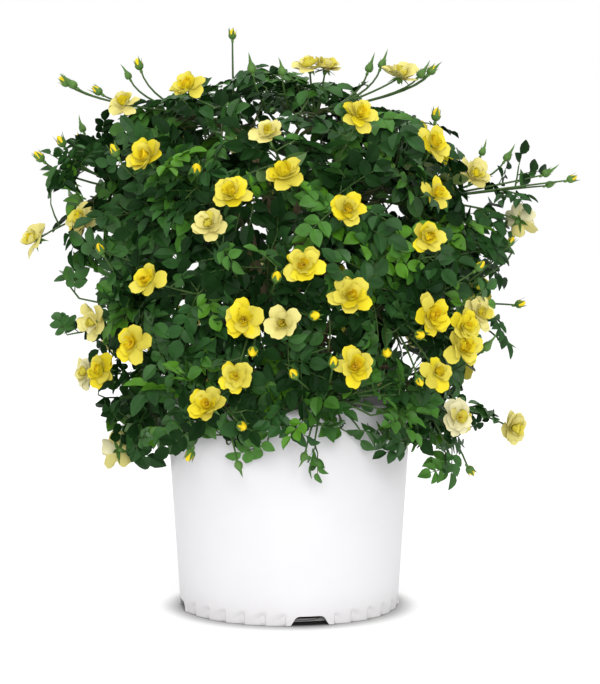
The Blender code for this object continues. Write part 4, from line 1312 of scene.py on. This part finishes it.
def grow_blossom(growth, stand, tone, chance):
    """Petals in rings, a heart of stamens, and a hip with sepals below."""
    size = chance.uniform(*BLOSSOM_SIZES)
    cup = chance.uniform(*BLOSSOM_CUPS[tone])
    stand = stand @ turned_by(chance.uniform(0, 360))
    start = 0
    loose = chance.random() < LOOSE_SHARE
    for step, (petals, length, width, rise, foot, form, ring_tone) in enumerate(BLOSSOM_RINGS):
        start += 360 / petals / 2
        if loose and step == 1:
            continue
        for order in range(petals):
            spin = start + 360 * order / petals + chance.uniform(-PETAL_SPIN, PETAL_SPIN)
            pitch = rise + cup + chance.uniform(-PETAL_RISE_SPREAD, PETAL_RISE_SPREAD)
            reach = length * MM * size * chance.uniform(*PETAL_LENGTHS)
            across = width * MM * size * chance.uniform(*PETAL_WIDTHS)
            own_form = f"{form}_{chance.randrange(4)}"
            place = stand @ turned_by(spin) @ moved((foot * MM, 0, step * RING_STEP))
            tilt = turned_by(0, -pitch, chance.uniform(-PETAL_ROLL, PETAL_ROLL))
            place = place @ tilt @ scaled(reach, across, reach)
            colour = chance.choice(BLOSSOM_TONES[tone][ring_tone])
            growth.copies["petals_" + colour].append((own_form, place))
    for order in range(STAMENS):
        lean = 8 + 34 * math.sqrt(order / STAMENS)
        root = stand @ (UP * STAMEN_FOOT)
        way = (stand @ turned_by(order * GOLDEN_ANGLE, lean)).to_3x3() @ UP
        top = root + way * STAMEN_LENGTH * size
        growth.runs["stamens"].append(([root, top, top + way * STAMEN_TIP], STAMEN_RADII))
    grow_calyx(growth, stand, chance, 8 * MM * size, length=15, radius=1.6, height=-0.4, rise=-18)


def grow_calyx(growth, stand, chance, hip, length, radius, height, rise):
    """The hip below a bloom and its five sepals, which stand on a ring about it."""
    growth.copies["sepals"].append(("hip", stand @ moved((0, 0, -hip)) @ scaled(hip)))
    for order in range(5):
        spin = turned_by(order * 72 + chance.uniform(-SEPAL_SPREAD, SEPAL_SPREAD))
        tilt = turned_by(0, -(rise + chance.uniform(-SEPAL_SPREAD, SEPAL_SPREAD)))
        reach = length * MM * chance.uniform(*SEPAL_LENGTHS)
        place = stand @ spin @ moved((radius * MM, 0, height * MM)) @ tilt @ scaled(reach)
        growth.copies["sepals"].append(("sepal", place))


def grow_bud(growth, stand, tone, chance):
    """A yellow bud that its green cup hugs, or a slim green one."""
    size = chance.uniform(*BUD_SIZES)
    stand = stand @ turned_by(chance.uniform(0, 360))
    if tone == "green":
        growth.copies["sepals"].append(("slim_bud", stand @ scaled(SLIM_BUD_LENGTH * size)))
        grow_calyx(
            growth, stand, chance, 4.5 * MM * size, length=12 * size, radius=3.6 * size, height=1.0, rise=98
        )
        return
    place = stand @ scaled(BUD_LENGTH * size)
    growth.copies["petals_golden"].append(("bud", place))
    growth.copies["sepals"].append(("cup", place))
    grow_calyx(
        growth, stand, chance, 5 * MM * size, length=12 * size, radius=4.6 * size, height=3.6 * size, rise=90
    )


def make_blooms(growth, materials, foliage):
    """Petals joined by colour, the green parts of all blooms, and the stamens."""
    chance = random.Random(BLOOM_SEED)
    for kind, tone, tip, axis in growth.blooms:
        stand = moved(tip) @ axis.to_track_quat("Z", "Y").to_matrix().to_4x4()
        grow = grow_blossom if kind == "blossom" else grow_bud
        grow(growth, stand, tone, chance)
    forms = make_petal_forms()
    for tone in PETAL_COLOURS:
        name = "petals_" + tone
        petals = joined_copies(name, forms, growth.copies[name])
        finish_piece(petals, materials[name], foliage, sharp_angle=60)
    forms = {name: round_form(name) for name in ("hip", "cup", "slim_bud")}
    forms["sepal"] = sheet_form(5, 2, 0.03, sepal_place)
    sepals = joined_copies("sepals", forms, growth.copies["sepals"])
    finish_piece(sepals, materials["sepals"], foliage, sharp_angle=60)
    stamens = joined_tubes("stamens", growth.runs["stamens"])
    finish_piece(stamens, materials["stamens"], foliage)


# ------------------------------------------------------------ stage, lights and camera


def make_stage():
    """A pale floor that glows all round, with a painted shadow where its glow fades at the pot's edge and
    painted dark shade under the pot, and a white world.
    """
    shape = bmesh.new()
    bmesh.ops.create_grid(shape, x_segments=1, y_segments=1, size=9)
    floor = object_from("floor", shape)
    material, tree, shader = new_material("pale_floor", 0.9, 0.1)
    away = add_node(tree, "VectorMath", {0: object_place(tree)}, operation="LENGTH").outputs["Value"]
    # The glow fades to none at the pot's edge: a painted shadow.
    glow_less_painted_shadow = add_range(tree, away, *PAINTED_FLOOR_SHADOW, interpolation_type="SMOOTHSTEP")
    tree.links.new(glow_less_painted_shadow, shader["Emission Color"])
    shader["Emission Strength"].default_value = 0.5
    # The floor's colour goes dark under the pot: painted shade, seen through the drainage recesses.
    tree.links.new(add_range(tree, away, *PAINTED_SHADE_UNDER_POT, 0.04, 0.5), shader["Base Color"])
    floor.data.materials.append(material)

    world = bpy.data.worlds.new("studio")
    world.use_nodes = True
    sky = world.node_tree.nodes["Background"].inputs
    sky["Color"].default_value = (1, 1, 1, 1)
    sky["Strength"].default_value = 1.0
    bpy.context.scene.world = world
    bpy.context.scene.view_settings.view_transform = "Standard"


def aimed(name, data, place, aim):
    """An object at a place that looks at another."""
    thing = add_object(name, data)
    thing.location = place
    thing.rotation_euler = (Vector(aim) - Vector(place)).to_track_quat("-Z", "Y").to_euler()
    return thing


def make_lights():
    for name, place, aim, size, power in (
        ("front_light", (0.15, -3.0, 1.2), (0, 0, 0.25), 1.0, 50),
        ("back_light", (-0.7, 3.0, 1.6), (0, 0, 0.35), 1.4, 22),
        ("top_light", (0.1, -0.2, 2.8), (0, 0, 0.3), 1.8, 20),
    ):
        lamp = bpy.data.lights.new(name, "AREA")
        lamp.size = size
        lamp.energy = power
        aimed(name, lamp, place, aim)


def make_camera():
    lens = bpy.data.cameras.new("camera")
    lens.lens = 116.4
    lens.sensor_width = 36
    bpy.context.scene.camera = aimed("camera", lens, (0.0125, -2.5, 0.512), (0.0125, 0, 0.301))


# ------------------------------------------------------------ whole plant


def main():
    materials = make_materials()
    make_pot(materials)
    make_potting_mix(materials)
    make_stem(materials)
    masses = plan_masses()
    make_canes(masses, materials)
    foliage = ["foliage_" + mass["name"] for mass in masses]

    owned = defaultdict(list)
    for shoot in plan_shoots():
        tip = crown_point(*shoot[:3])
        owner = min(range(len(masses)), key=lambda number: (tip - masses[number]["centre"]).length)
        owned[owner].append(shoot)
    growth = Growth()
    for index, mass in enumerate(masses):
        grow_mass(growth, mass, index, owned[index])
    make_leaves(growth, materials, foliage)
    make_blooms(growth, materials, foliage)
    make_wood(growth, materials, foliage)
    make_stage()
    make_lights()
    make_camera()


main()
